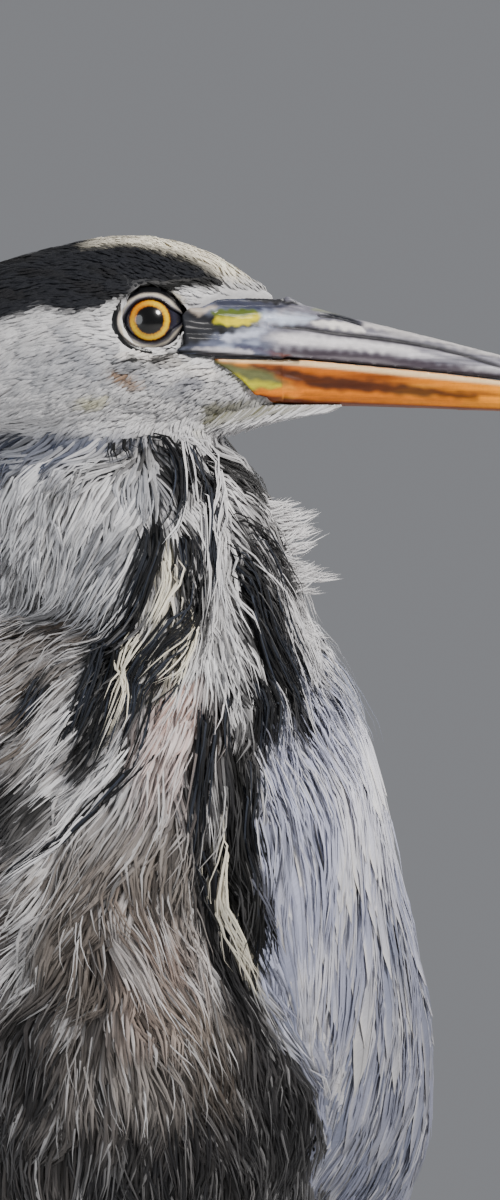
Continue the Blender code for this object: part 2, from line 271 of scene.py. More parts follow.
# The skin: one closed surface inside all the nodes of flesh
skinMake = {
    "voxel": 2.0,  # spacing of its points
    "swell": 0.45,  # closes the thin cuts between the nodes
    "softening": 7,  # rounds of smoothing
    "depth": {  # how far the plumage stands over the skin
        "head": 1.7,
        "neck_upper": 4.6,
        "neck_lower": 5.2,
        "breast": 5.5,
        "rump": 5.0,
        "thigh": 3.6,
        "wing": 3.2,
    },
    "bareDepth": 1.6,  # what else the skin gives way under the bare face
    "socket": {"aside": 18.0, "sink": 5.0, "reach": (4.5, 7.5)},  # where the eyeballs come through
}
fleshNodes = ["head", "neck_upper", "neck_lower", "breast", "rump", "thigh_left", "thigh_right"]
fleshNodes += ["wing_left", "wing_right"]


def treeOf(mesh):
    mesh.calc_loop_triangles()
    return BVHTree.FromPolygons([v.co for v in mesh.vertices], [tuple(p.vertices) for p in mesh.polygons])


def nearest(tree, points):  # nearest places, face numbers
    world = toWorld(points)
    spots = np.empty_like(world)
    faces = np.empty(len(world), int)
    for i, p in enumerate(world.tolist()):
        spot, _, face, _ = tree.find_nearest(p)
        spots[i] = spot
        faces[i] = face
    return toBird(spots), faces


def nodeLabels(points):  # which CAD node each point lies under
    corners, faces, owner = [], [], []
    for k, node in enumerate(fleshNodes):
        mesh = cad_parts[node].data
        first = len(corners)
        corners += [v.co.copy() for v in mesh.vertices]
        faces += [tuple(first + i for i in p.vertices) for p in mesh.polygons]
        owner += [k] * len(mesh.polygons)
    tree = BVHTree.FromPolygons(corners, faces)
    return np.array(owner)[nearest(tree, points)[1]]


def averaged(values, edges, rounds):  # a value on each point, smoothed along the edges
    count = np.bincount(edges.ravel(), minlength=len(values)).astype(float)
    for turn in range(rounds):
        total = np.bincount(edges[:, 0], values[edges[:, 1]], len(values))
        total += np.bincount(edges[:, 1], values[edges[:, 0]], len(values))
        values = 0.5 * values + 0.5 * total / np.maximum(count, 1)
    return values


def edgesOf(mesh):
    return read(mesh.edges, "vertices", 2, np.int32)


# Folds of the plumage.
folds = (
    {"line": ((19, -34), (19, -60), (16, -85), (6, -108)), "half": 5, "sink": 3.2},  # parting of the foreneck
    # below the cheek's roll
    {"line": ((-46, -76), (-24, -84), (-12, -90), (-6, -98)), "half": 8, "sink": 4.6},
    {"line": ((-44, -34), (-24, -35), (-8, -31), (6, -30)), "half": 5, "sink": 2.6},  # below the jaw
    {"line": ((12, -145), (19, -170), (31, -190), (46, -218)), "half": 5, "sink": 3.6},  # beside the wing
    {"line": ((-16, -150), (-20, -172), (-14, -230)), "half": 4, "sink": 1.4},  # parting of the breast
)


# The part of the face with no feathers; all of the bill counts as inside it.
bareFace = (
    (8, 2.0), (10, 4.4), (14, 5.0), (18, 7.0), (26, 7.6), (36, 7.4), (60, 9), (170, 9), (170, -40), (60, -40),
    (36, -22.2), (28, -21.2), (24.5, -17), (21, -14.2), (16.5, -11.4), (8, -9.3), (7, -7.6), (9, -6.0),
)


def skinPiece():
    flesh = nodeCopy(fleshNodes, skinMake["swell"])
    blank = remeshed("skin", flesh, skinMake["voxel"], skinMake["softening"])
    mesh = blank.data
    points, normals = meshPoints(mesh), meshNormals(mesh)
    labels = nodeLabels(points)
    depths = np.array([skinMake["depth"][n.split("_")[0] if n[0] in "tw" else n] for n in fleshNodes])
    depth = averaged(depths[labels], edgesOf(mesh), 14)
    u, w = fromEye(points)
    ahead = fade(-normals[:, 1], -0.1, 0.4)
    for fold in folds:
        depth += fold["sink"] * ahead * stroke(u, w, fold["line"], fold["half"], fold["half"] * 0.8)
    depth += skinMake["bareDepth"] * area(u, w, bareFace, 1.5) * (labels == 0)
    depth *= 1 - 0.75 * fade(points[:, 1], 95, 150)  # the wings thin out towards their tips
    points = points - normals * depth[:, None]
    socket = skinMake["socket"]
    for side in (-1, 1):
        away = np.linalg.norm(points - (eyePlace[0], headSide + side * socket["aside"], eyePlace[2]), axis=1)
        points[:, 1] -= side * socket["sink"] * (1 - fade(away, *socket["reach"]))
    setPoints(mesh, points)
    return blank, labels


print("skin")
skin, skinLabels = skinPiece()
skinPoints, skinNormals = meshPoints(skin.data), meshNormals(skin.data)
skinTree = treeOf(skin.data)
skinFaces = read(skin.data.polygons, "vertices", 4, np.int32)
faceNormals = unit(skinNormals[skinFaces].mean(1))
print("skin points", len(skinPoints))


# The bird's colours
shades = {
    "white": colour(222, 221, 222),
    "cream": colour(236, 230, 214),
    "cheek": colour(196, 195, 196),
    "ash": colour(151, 153, 159),
    "slate": colour(92, 100, 116),
    "mantle": colour(122, 130, 146),
    "lavender": colour(182, 185, 204),
    "warmGrey": colour(150, 140, 131),
    "charcoal": colour(46, 46, 50),
    "black": colour(17, 18, 23),
    "cap": colour(34, 37, 46),
    "bluish": colour(96, 102, 120),
    "greyBrown": colour(102, 92, 83),
    "pinkish": colour(196, 162, 149),
    "lores": colour(176, 170, 92),
    "brown": colour(146, 116, 84),
}

capOutline = (
    (20.2, 10.5), (17, 14.8), (12, 18.4), (6.8, 21.4), (1.4, 23.2), (-4.3, 24.3), (-13, 26.5), (-26, 30),
    (-44, 27), (-62, 14), (-74, -2), (-66, -14), (-52, -7), (-40.5, -0.4), (-35.4, 1.2), (-29.7, 3.7),
    (-19.9, 1.7), (-13.7, 3.7), (-6.9, 5.8), (-3.3, 9.4), (3.4, 10), (11.2, 10.5),
)
epaulet = (
    (30, -103), (34, -110), (29.8, -117), (27.3, -124), (27.5, -141), (31.4, -161.6), (30, -176), (24, -162),
    (20.7, -148), (18, -141), (18.5, -128), (20, -116), (24, -108),
)
# Marks of the foreneck and breast: bent lines, with half their width.
blackMarks = (
    (((-10.4, -33), (-10.6, -38), (-9.2, -42)), 1.2),
    (((-7, -32), (-6.4, -37), (-4, -41)), 1.3),
    (((-3, -31.5), (-2.4, -36), (-1.4, -41)), 1.1),
    (((-0.9, -31.5), (4.5, -36), (6.4, -42), (5.8, -49), (4.4, -55), (1.8, -60)), 1.7),
    (((8.4, -33), (10, -39), (10.8, -45), (9.8, -50)), 1.4),
    (((12.4, -39), (14.8, -47.5), (15.3, -54), (14.4, -61), (13.4, -70), (11.8, -80)), 2.7),
    (((8.2, -57), (9.1, -65.5), (7.8, -73)), 2.9),
    (((10.8, -68), (9.4, -78), (5.6, -84), (1.6, -91), (-0.6, -98.5),
      (-3, -105), (-6.4, -113), (-10, -121)), 3.2),
    (((-0.6, -54), (1.6, -60), (-0.4, -66), (-3, -73), (-5.6, -81), (-8.6, -88)), 3.3),
    (((-4, -79), (-9.5, -84.5), (-16.4, -89.6)), 3.4),
    (((-6, -83), (-9.4, -92), (-11.6, -98.4), (-13.8, -106), (-16.4, -113), (-20.6, -122)), 5.4),
    (((-26, -96), (-30, -104), (-36, -112)), 2.2),
    (((2, -112), (-7, -123), (-17, -133), (-30, -142), (-41, -151)), 1.2),
    (((18, -40.4), (22.6, -41.4), (27, -43.4), (31.6, -48), (35.2, -53), (37.6, -58.4)), 3.9),
    (((22, -45), (27, -49.6), (31, -54.6), (34, -59)), 1.5),
    (((20.6, -52.8), (25.2, -54.8), (29.8, -59.4), (33.4, -65), (36.2, -71), (38.4, -77)), 2.1),
    (((22, -59), (26, -65.4), (28.4, -72), (29, -78.2), (31, -84.6), (34, -92), (38, -102), (43, -111)), 3.7),
    (((24.4, -67), (26.4, -75), (27.6, -82.6), (30, -90), (33.5, -98), (37.6, -105)), 2.7),
    (((44.4, -74), (46.4, -81), (48.4, -91), (48.4, -103)), 1.3),
    (((26, -94), (29.6, -103), (28.8, -110), (27.8, -119)), 3.4),
    (((15.8, -102), (14.4, -112.4), (12.4, -126), (9.4, -146)), 2.5),
    (((21, -99), (19.6, -108), (20, -117)), 1.6),
    (((13, -140), (16, -152), (18.4, -163)), 2.4),
    (((25, -117), (25.6, -134), (28.6, -150), (29.4, -162), (29, -176)), 2.4),
)
# Painted shadow along the folds: beside the plumes over the wing, under the jaw, in the breast's parting and
# under the cheek's roll.
foldShadowMarks = (
    (((20, -116), (18, -140), (17.4, -155), (21.4, -172), (28.4, -191),
      (38.4, -207), (50.6, -231), (61, -258)), 4.3),
    (((22, -196), (33, -212), (42, -232), (50, -262)), 6.0),
    (((15, -150), (18, -166), (23, -184), (31, -200)), 4.4),
    (((-5.5, -31.4), (2, -30.8), (8, -32.4)), 1.2),
    (((-8, -150), (-14, -176), (-12, -210)), 2.6),
    (((-40, -64), (-30, -73), (-18, -79), (-8, -80)), 2.2),
)
creamMarks = (
    (((4.4, -63), (5.4, -70), (3.2, -77), (0.8, -83)), 1.6),
    (((-1.6, -82), (-3.8, -90), (-5.6, -97), (-7.4, -104), (-10, -111)), 1.7),
    (((9.8, -80), (7.2, -86), (4.4, -92), (1.6, -98)), 1.5),
    (((18.4, -138), (17.6, -145), (20, -155), (24, -166), (30.6, -180)), 1.2),
)
whiteMarks = (
    (((8.1, -31.2), (12.6, -35), (16.4, -41.2), (18.2, -49), (18.6, -58), (18.5, -66), (17.8, -74), (16, -84),
      (12, -93)), 1.7),
    (((8.8, -32), (8.5, -38), (9, -45), (8.4, -51.4)), 1.0),
    (((8.1, -49), (6.3, -56.6), (4.4, -62)), 0.9),
    (((10.8, -46), (11.5, -53), (11, -60), (10.9, -67), (9.8, -74)), 1.0),
    (((21.4, -45.4), (25.4, -47.6), (29, -51), (31.8, -55)), 0.7),
    (((36.8, -57), (39.4, -64.6), (40.6, -73.4), (42.4, -81), (45, -90), (46.8, -99)), 2.8),
    (((20, -62), (22, -74), (25, -86)), 1.5),
    (((-3, -60), (-4, -67), (-8, -74), (-14, -79)), 0.6),
    (((-4, -113.5), (-11, -123), (-21, -132)), 0.8),
    (((-9, -119), (-22, -133.5), (-37, -146)), 0.9),
    (((-15, -132), (-28, -142), (-42, -152)), 0.7),
    (((-17, -103), (-23, -112), (-32, -120)), 0.8),
)
# Broad soft patches: colour, middle, reach, strength. Some are painted shade, and one is a painted highlight,
# as marked.
washesWithShadeAndHighlight = (
    ("white", (-33, -51), (23, 15), 0.95),
    # painted shade at the foot of the cheek's roll: this patch and the next
    ("ash", (-14, -68), (14, 13), 0.75),
    ("greyBrown", (-28, -83), (26, 9), 1.0),
    ("greyBrown", (-32, -106), (24, 22), 1.0),
    ("bluish", (-32, -36), (18, 10), 1.0),
    ("bluish", (-14, -31), (18, 7), 1.0),
    ("ash", (-2, -48), (10, 10), 0.7),
    ("white", (18, -84), (11, 19), 0.95),
    ("pinkish", (8, -106), (10, 10), 0.8),
    ("greyBrown", (16, -114), (8, 12), 0.9),
    ("greyBrown", (-2, -146), (27, 21), 0.55),
    ("pinkish", (6, -120), (13, 17), 0.45),
    ("pinkish", (-2, -176), (16, 22), 0.4),
    ("greyBrown", (-30, -178), (26, 34), 0.7),
    ("greyBrown", (24, -206), (24, 28), 0.85),
    # painted shade darkening the breast towards the bottom: these three charcoal patches and the one at (-18,
    # -238)
    ("charcoal", (-38, -206), (26, 44), 0.92),
    ("charcoal", (10, -238), (44, 36), 0.95),
    ("charcoal", (30, -226), (16, 30), 0.9),
    # painted shadow beside the plumes over the wing: this charcoal patch and the one at (20, -170)
    ("charcoal", (16, -152), (7, 20), 0.6),
    ("white", (-22, -109), (10, 10), 0.9),
    ("white", (-37, -166), (10, 17), 0.75),
    ("warmGrey", (-6, -170), (17, 26), 0.7),
    ("warmGrey", (7, -188), (9, 12), 0.7),
    ("charcoal", (20, -170), (7, 18), 0.9),
    ("charcoal", (-18, -238), (60, 27), 0.9),
    ("black", (-36, -131), (10, 14), 1.0),
    # painted highlight on the top of the plumes over the wing
    ("white", (49, -104), (8, 22), 0.9),
)


def sheetEdge(w):  # where the long pale feathers over the front of the wing begin
    down = (86, 96, 118, 145, 162, 177, 193, 206, 222, 233, 265)
    return np.interp(-w, down, (48, 36, 29, 28, 31, 29.5, 36, 42, 48, 55, 72))


def sheetAt(u, w):
    return fade(u - sheetEdge(w), -1.4, 1.4) * fade(-w, 86, 94) * (1 - fade(-w, 262, 290))


def headColours(points):
    u, w = fromEye(points)
    aside = np.abs(points[:, 1] - headSide)
    u = u + wobble(points, 7, 3) * 0.5
    w = w + wobble(points, 6, 4) * 0.45
    white, ash, black = shades["white"], shades["ash"], shades["black"]
    c = mixed(plain(shades["cheek"], len(u)), white, oval(u, w, (2, -5), (22, 9), 0.5, 1.3))
    c = mixed(c, ash, 0.5 * oval(u, w, (-24, -13), (18, 9), 0.3, 1.2))
    c = mixed(c, white, 0.7 * fade(-w, 22, 32))
    c = mixed(c, shades["cream"], fade(w, 9, 15))
    outward = np.maximum(fade(aside, 5.5, 8.5), fade(-u, 12, 20))
    c = mixed(c, shades["cap"], area(u, w, capOutline, 0.9) * outward)
    c = mixed(c, black, 0.6 * area(u, w, capOutline, 2.0) * fade(wobble(points * (0.5, 1, 1), 8, 10), 0, 0.8))
    c = painted(c, u, w, [(black, 1, ((19, 10.8), (8, 9.6), (-2, 8.6), (-9, 5.2)), 1.2, 0.7)])
    brow = ((20, 9.2), (10, 8.4), (4, 7.6), (-1.5, 6.8), (6, 6.6), (16, 6))
    c = mixed(c, white, area(u, w, brow, 0.6))
    c = painted(c, u, w, [(shades["brown"], 0.85, ((-11, -14), (-7.4, -15.8), (-3, -18)), 1.3, 1.0)])
    c = mixed(c, shades["lores"], 0.4 * oval(u, w, (-16, -22.5), (5, 2.2), 0.5, 1.2))
    c = mixed(c, shades["bluish"], 0.55 * oval(u, w, (10.5, -17.4), (4.5, 2.2), 0.5, 1.2))
    c = painted(c, u, w, (
        (ash, 0.7, ((-14, -6), (-6, -13), (4, -19), (14, -22.6)), 1.5, 1.4),
        (ash, 0.6, ((-24, -2), (-20, -10), (-12, -18)), 2.2, 1.8),
        (colour(226, 222, 218), 0.8, ((-8, -9.4), (0, -9.8), (9, -12.4), (18, -15)), 1.6, 1.2),
        (colour(176, 160, 90), 0.5, ((4, 7), (8, 5.8)), 1.2, 0.9),
        # the gape's fold
        (black, 1, ((-11, -11.6), (-4, -10.9), (2.3, -10.4), (9.9, -8.2),
         (16.3, -8.9), (26.7, -9.8), (40, -10.3)),
         0.9, 0.45),
        (shades["charcoal"], 0.55, ((-12, -13.6), (0, -12.8), (10, -10.6)), 1.0, 0.8),
    ))
    # the olive chin with its white edge
    olive = ((14, -23), (26, -21.6), (60, -22), (60, -25), (40, -25.6), (26, -27.4), (14, -28.4))
    c = mixed(c, colour(112, 110, 82), 0.8 * area(u, w, olive, 1.2))
    rim = ((12, -31), (27, -29), (41, -26.8), (56, -24))
    return painted(c, u, w, [(colour(230, 228, 216), 0.9, rim, 1.6, 0.8)])


def neckColours(points, normals):
    u, w = fromEye(points)
    least = -0.05 - 0.45 * fade(-w, 84, 112)
    ahead = fade(-normals[:, 1] - least, 0, 0.4)
    u = u + wobble(points, 9, 5) * 0.8
    w = w + wobble(points, 11, 6) * 1.2
    c = mixed(plain(shades["ash"], len(u)), shades["white"], ahead * 0.8)
    c = mixed(c, shades["ash"], 0.42 * ahead * fade(wobble(points * (1, 1, 0.4), 13, 7), 0.0, 0.9))
    low = fade(-w, 122, 150) * (1 - fade(u, 24, 34))
    c = mixed(c, shades["warmGrey"], ahead * low * 0.75)
    patchy = 0.95 + 0.3 * wobble(points * (1, 1, 0.35), 8, 9)
    # among these broad patches are painted shade and a painted highlight
    for tone, middle, reach, strength in washesWithShadeAndHighlight:
        cover = strength * ahead * oval(u, w, middle, reach, 0.35, 1.15) * patchy
        c = mixed(c, shades[tone], np.clip(cover, 0, 1))
    c = mixed(c, shades["lavender"], 0.92 * ahead * sheetAt(u, w))
    c = mixed(c, shades["black"], ahead * area(u, w, epaulet, 1.0))
    facing = fade(-normals[:, 1], -0.5, -0.1)
    # the charcoal layer is painted shadow along the folds
    layers = ((foldShadowMarks, "charcoal", 0.8), (blackMarks, "black", 0.96))
    layers += ((creamMarks, "cream", 0.9), (whiteMarks, "white", 0.9))
    for marks, tone, strength in layers:
        for line, half in marks:
            c = mixed(c, shades[tone], strength * facing * stroke(u, w, line, half, 0.7))
    return c


def bodyColours(points, normals):
    x, y, z = points.T
    c = mixed(plain(shades["mantle"], len(x)), shades["slate"], 0.5 * fade(wobble(points, 40, 8), -0.4, 0.8))
    under = fade(-normals[:, 2], -0.15, 0.35) * (1 - fade(z, 330, 372))
    c = mixed(c, shades["white"], under * (1 - fade(np.abs(x), 26, 40)))
    c = mixed(c, shades["black"], under * fade(np.abs(x), 26, 40) * (1 - fade(y, 70, 120)))
    thigh = (1 - fade(z, 312, 334)) * (1 - fade(y, 55, 85))
    return mixed(c, shades["cheek"], 0.92 * thigh)


def plumage(points, normals):  # the bird's pattern at any place on it
    u, w = fromEye(points)
    z = points[:, 2]
    ahead = fade(-normals[:, 1], -0.1, 0.3) * fade(z, 318, 352)
    onBody = (1 - fade(z, 486, 520)) * (1 - ahead)
    c = mixed(neckColours(points, normals), bodyColours(points, normals), onBody)
    border = -31 + 8 * fade(u, 10, 30)
    return mixed(c, headColours(points), fade(w - border, -3, 3))


# Materials
def shader(name, roughness, sheen=0.0, coat=0.0, gloss=0.3):
    material = bpy.data.materials.new(name)
    material.use_nodes = True
    tree = material.node_tree
    main = tree.nodes["Principled BSDF"]
    main.inputs["Roughness"].default_value = roughness
    main.inputs["Sheen Weight"].default_value = sheen
    main.inputs["Sheen Roughness"].default_value = 0.45
    main.inputs["Coat Weight"].default_value = coat
    main.inputs["Specular IOR Level"].default_value = gloss
    main.inputs["Coat Roughness"].default_value = 0.08
    return material, tree, main


def added(tree, kind, inputs=None, **settings):
    node = tree.nodes.new("ShaderNode" + kind)
    for key, value in settings.items():
        setattr(node, key, value)
    for key, value in (inputs or {}).items():
        if isinstance(value, bpy.types.NodeSocket):
            tree.links.new(value, node.inputs[key])
        else:
            node.inputs[key].default_value = value
    return node


def times(tree, a, b):
    return added(tree, "Math", {0: a, 1: b}, operation="MULTIPLY").outputs[0]


def noise(tree, place, scale, detail, rough=0.5):
    inputs = {"Vector": place, "Scale": scale, "Detail": detail, "Roughness": rough}
    return added(tree, "TexNoise", inputs).outputs[0]


def objectPlace(tree):
    return added(tree, "TexCoord").outputs["Object"]


def spanned(tree, value, low, high):  # 0..1 to low..high
    inputs = {"Value": value, "From Min": 0.0, "From Max": 1.0, "To Min": low, "To Max": high}
    return added(tree, "MapRange", inputs).outputs[0]


def tinted(tree, tint, strength):  # a colour with its brightness multiplied
    grey = added(tree, "CombineColor", {0: strength, 1: strength, 2: strength}).outputs[0]
    return added(tree, "Mix", {0: 1.0, 6: tint, 7: grey}, data_type="RGBA", blend_type="MULTIPLY").outputs[2]


def surfaced(tree, main, brightness, height, firm, depth):  # the painted pattern with grain and relief
    tint = added(tree, "Attribute", attribute_name="plumage").outputs["Color"]
    tree.links.new(tinted(tree, tint, brightness), main.inputs["Base Color"])
    bump = added(tree, "Bump", {"Strength": firm, "Distance": depth, "Height": height}).outputs[0]
    tree.links.new(bump, main.inputs["Normal"])


def featherMaterial(name, lines):  # fine barbs along each tuft, from its own UV
    material, tree, main = shader(name, 0.7, 0.04)
    barbs = added(tree, "UVMap", uv_map="barbs").outputs[0]
    spread = added(tree, "VectorMath", {0: barbs, 1: (lines, 1.3, 1.0)}, operation="MULTIPLY").outputs[0]
    streak = noise(tree, spread, 1.0, 3.0, 0.62)
    patchy = noise(tree, objectPlace(tree), 260.0, 2.0)
    both = times(tree, spanned(tree, streak, 0.55, 1.45), spanned(tree, patchy, 0.84, 1.16))
    surfaced(tree, main, both, streak, 0.55, 0.0004)
    return material


# pebbled bare skin or horn
def skinMaterial(name, scale, roughness, bumpDepth, sheen=0.0, coat=0.0, spread=0.2):
    material, tree, main = shader(name, roughness, sheen, coat)
    place = objectPlace(tree)
    grain = noise(tree, place, scale, 5.0, 0.6)
    cells = added(tree, "TexVoronoi", {"Vector": place, "Scale": scale * 0.8}).outputs["Distance"]
    both = times(tree, spanned(tree, grain, 1 - spread, 1 + spread), spanned(tree, cells, 0.93, 1.07))
    height = added(tree, "Math", {0: grain, 1: cells}, operation="ADD").outputs[0]
    surfaced(tree, main, both, height, 0.5, bumpDepth)
    return material


# Camera, light and ground
cameraMake = {
    "aim": (27.0, 0.0, -75.4),  # from the eye
    "distance": 2.6,
    "shownHeight": 0.3243,  # metres of the bird from the frame's foot to its head
}


def placeCamera():
    data = bpy.data.cameras.new("camera")
    data.sensor_fit = "VERTICAL"
    data.sensor_height = 36.0
    data.lens = data.sensor_height * cameraMake["distance"] / cameraMake["shownHeight"]
    data.clip_start = 0.05
    camera = placed("camera", data)
    camera.location = Vector(toWorld(eyePlace + cameraMake["aim"])) - Vector((0, cameraMake["distance"], 0))
    camera.rotation_euler = (math.radians(90), 0, 0)
    bpy.context.scene.camera = camera


def softLight(name, place, aim, size, watts, tint):
    data = bpy.data.lights.new(name, "AREA")
    data.shape = "DISK"
    data.size = size
    data.energy = watts
    data.color = tint
    lamp = placed(name, data)
    lamp.location = place
    lamp.rotation_euler = (Vector(aim) - Vector(place)).to_track_quat("-Z", "Y").to_euler()


def studio():
    world = bpy.data.worlds.new("studio")
    bpy.context.scene.world = world
    world.use_nodes = True
    back = world.node_tree.nodes["Background"]
    back.inputs["Color"].default_value = (0.225, 0.23, 0.245, 1)
    back.inputs["Strength"].default_value = 1.0
    middle = (0, -0.1, 0.5)
    softLight("key", (1.15, -1.5, 1.75), middle, 0.55, 72, (1.0, 0.97, 0.93))
    softLight("fill", (-1.6, -1.5, 0.7), middle, 1.4, 20, (0.93, 0.96, 1.0))
    softLight("rim", (0.9, 1.3, 1.5), middle, 0.6, 22, (1.0, 0.98, 0.95))
    mesh = bpy.data.meshes.new("ground")
    bm = bmesh.new()
    bmesh.ops.create_circle(bm, cap_ends=True, segments=96, radius=3.0)
    bm.to_mesh(mesh)
    bm.free()
    material, tree, main = shader("pale ground", 0.85)
    shade = spanned(tree, noise(tree, objectPlace(tree), 9.0, 6.0), 0.5, 0.62)
    tint = added(tree, "CombineColor", {0: shade, 1: shade, 2: shade}).outputs[0]
    tree.links.new(tint, main.inputs["Base Color"])
    mesh.materials.append(material)
    placed("ground", mesh)


print("studio")
placeCamera()
studio()

# The skin carries the same pattern as the coat
addColours(skin.data, plumage(skinPoints, skinNormals) * 0.9)
standIn(skin, skinMaterial("skin", 900.0, 0.6, 0.0002, 0.1), fleshNodes)


# Eyes
sideNames = {-1: "right", 1: "left"}
eyeMake = {
    "radius": 9.2,
    "aside": 11.0,  # from the middle of the head to the middle of the ball
    "segments": 72,
    "rings": 40,
    "stops": (  # colours outwards from the middle of the pupil, in centimetres
        (0.0, (9, 10, 12)), (0.37, (14, 14, 14)), (0.40, (70, 46, 12)), (0.43, (196, 150, 0)),
        (0.50, (226, 196, 0)), (0.555, (214, 176, 0)), (0.585, (120, 72, 16)), (0.61, (44, 40, 50)),
        (0.70, (60, 58, 74)), (0.86, (30, 29, 36)),
    ),
}


def eyeMaterial():
    material, tree, main = shader("eye", 0.25, coat=0.8, gloss=0.2)
    place = objectPlace(tree)
    middle = tuple(toWorld(eyePlace) * (1, 0, 1))
    flat = added(tree, "VectorMath", {0: place, 1: (1.0, 0.0, 1.0)}, operation="MULTIPLY").outputs[0]
    out = added(tree, "VectorMath", {0: flat, 1: middle}, operation="SUBTRACT").outputs[0]
    radius = added(tree, "VectorMath", {0: out}, operation="LENGTH").outputs["Value"]
    turned = added(tree, "VectorMath", {0: out}, operation="NORMALIZE").outputs[0]
    rays = noise(tree, turned, 9.0, 4.0, 0.7)
    specks = noise(tree, place, 1500.0, 3.0)
    shaken = added(tree, "Math", {0: rays, 1: 0.0007, 2: radius}, operation="MULTIPLY_ADD").outputs[0]
    ring = added(tree, "ValToRGB", {"Fac": times(tree, shaken, 100.0)})
    elements = ring.color_ramp.elements
    for turn, (spot, tone) in enumerate(eyeMake["stops"]):
        stop = elements[turn] if turn < 2 else elements.new(spot)
        stop.position = spot
        stop.color = (*colour(*tone), 1)
    # the upper back of the iris is orange-red
    side = added(tree, "VectorMath", {0: turned, 1: (-0.72, 0.0, 0.69)}, operation="DOT_PRODUCT")
    side = side.outputs["Value"]
    warm = added(tree, "MapRange", {"Value": side, "From Min": 0.45, "From Max": 1.0}).outputs[0]
    inside = added(tree, "MapRange", {"Value": radius, "From Min": 0.0062, "From Max": 0.0056}).outputs[0]
    share = times(tree, times(tree, warm, inside), 0.5)
    blend = {0: share, 6: ring.outputs[0], 7: (*colour(222, 92, 4), 1)}
    base = added(tree, "Mix", blend, data_type="RGBA", blend_type="MULTIPLY").outputs[2]
    both = times(tree, spanned(tree, rays, 0.72, 1.28), spanned(tree, specks, 0.85, 1.15))
    tree.links.new(tinted(tree, base, both), main.inputs["Base Color"])
    return material


def eyePiece(side, material):  # a ball with its front a little bulged
    mesh = bpy.data.meshes.new("eye")
    bm = bmesh.new()
    radius = eyeMake["radius"] * mm
    bmesh.ops.create_uvsphere(bm, u_segments=eyeMake["segments"], v_segments=eyeMake["rings"], radius=radius)
    node = "eye_" + sideNames[side]
    middle = Vector(boxMiddle(node))
    for vert in bm.verts:
        x, y, z = vert.co
        bulge = 1 + 0.05 * float(fade(np.array(abs(z) / radius), 0.8, 1.0))
        vert.co = middle + Vector((x, -z * bulge, y))
    bmesh.ops.recalc_face_normals(bm, faces=bm.faces)
    bm.to_mesh(mesh)
    bm.free()
    standIn(placed("eyeball_" + sideNames[side], mesh), material, [node])


def surfaceFrom(side, u, w):  # y of the skin seen from one side of the head
    y = np.empty(len(u))
    for i, (a, b) in enumerate(zip(u, w)):
        start = toWorld((a + eyePlace[0], headSide + side * 90, b + eyePlace[2]))
        hit = skinTree.ray_cast(Vector(start), Vector((0, -side, 0)))[0]
        y[i] = toBird(hit)[1] if hit else headSide
    return y


# Rings of the eyelid, from the opening outwards:
# distance from the pupil, height over what lies below, colour.
lidRings = (
    (6.1, -0.5, (22, 21, 27)),
    (6.25, 0.25, (24, 23, 30)),
    (6.55, 0.6, (34, 32, 41)),
    (6.85, 0.74, (112, 108, 116)),
    (7.2, 0.88, (182, 176, 168)),
    (7.6, 0.92, (206, 198, 182)),
    (8.0, 0.8, (142, 136, 132)),
    (8.35, 0.55, (30, 30, 36)),
    (8.9, 0.36, (17, 18, 22)),
    (9.5, 0.12, (28, 29, 34)),
    (10.4, -0.9, (60, 62, 68)),
)


def lidPiece(side, material):
    around = 96
    turn = np.linspace(0, 2 * math.pi, around, endpoint=False)
    front = np.exp(-((np.angle(np.exp(1j * (turn - 0.06))) / 0.30) ** 2))  # the sharp corner towards the bill
    back = np.exp(-((np.angle(np.exp(1j * (turn - 3.25))) / 0.45) ** 2))
    squeeze = 1 - 0.07 * np.abs(np.sin(turn)) ** 3
    points, tints = [], []
    for k, (reach, height, tone) in enumerate(lidRings):
        narrowing = 1 - k / (len(lidRings) - 1) * 0.75
        r = reach * squeeze + 3.0 * front * narrowing + 0.7 * back
        r += 0.06 * np.sin(turn * 11 + k) * (k > 2)
        u, w = r * np.cos(turn), r * np.sin(turn)
        ball = np.sqrt(np.clip((eyeMake["radius"] * 1.03) ** 2 - r * r, 0, None))
        skinOut = side * (surfaceFrom(side, u, w) - headSide)
        skinOut = np.mean([np.roll(skinOut, n) for n in range(-6, 7)], 0)
        ballOut = np.where(r < 8.9, eyeMake["aside"] + ball, 0)
        share = fade(r, 6.6, 8.6)
        out = (1 - share) * ballOut + share * np.maximum(skinOut + 0.25, ballOut)
        y = headSide + side * (out + height)
        points.append(np.stack([u + eyePlace[0], y, w + eyePlace[2]], 1))
        shade = mixed(plain(colour(*tone), around), colour(30, 31, 38), np.clip(front * 1.2, 0, 1) * (k < 7))
        dim = fade(-np.cos(turn - 2.5), 0.1, 0.9) * (0.8 if 2 < k < 5 else 0.35)
        tints.append(mixed(shade, colour(58, 56, 66), dim * (2 < k < 7)))
    under = [p + (0, -side * 2.2, 0) for p in points]
    rings = np.concatenate(points + under[::-1])
    index = np.arange(around)
    after = np.roll(index, -1)
    faces = []
    for first in range(0, len(rings), around):
        then = (first + around) % len(rings)
        quad = np.stack([first + index, first + after, then + after, then + index], 1)
        faces.append(quad[:, ::-1] if side < 0 else quad)
    name = "eyelid_" + sideNames[side]
    lid = pieceFromArrays(name, rings, [np.concatenate(faces)], material, np.concatenate(tints + tints[::-1]))


print("eyes")
eyeGlass = eyeMaterial()
lidSkin = skinMaterial("eyelid skin", 2600.0, 0.42, 0.00012, coat=0.15, spread=0.3)
for headHalf in sideNames:
    eyePiece(headHalf, eyeGlass)
    lidPiece(headHalf, lidSkin)


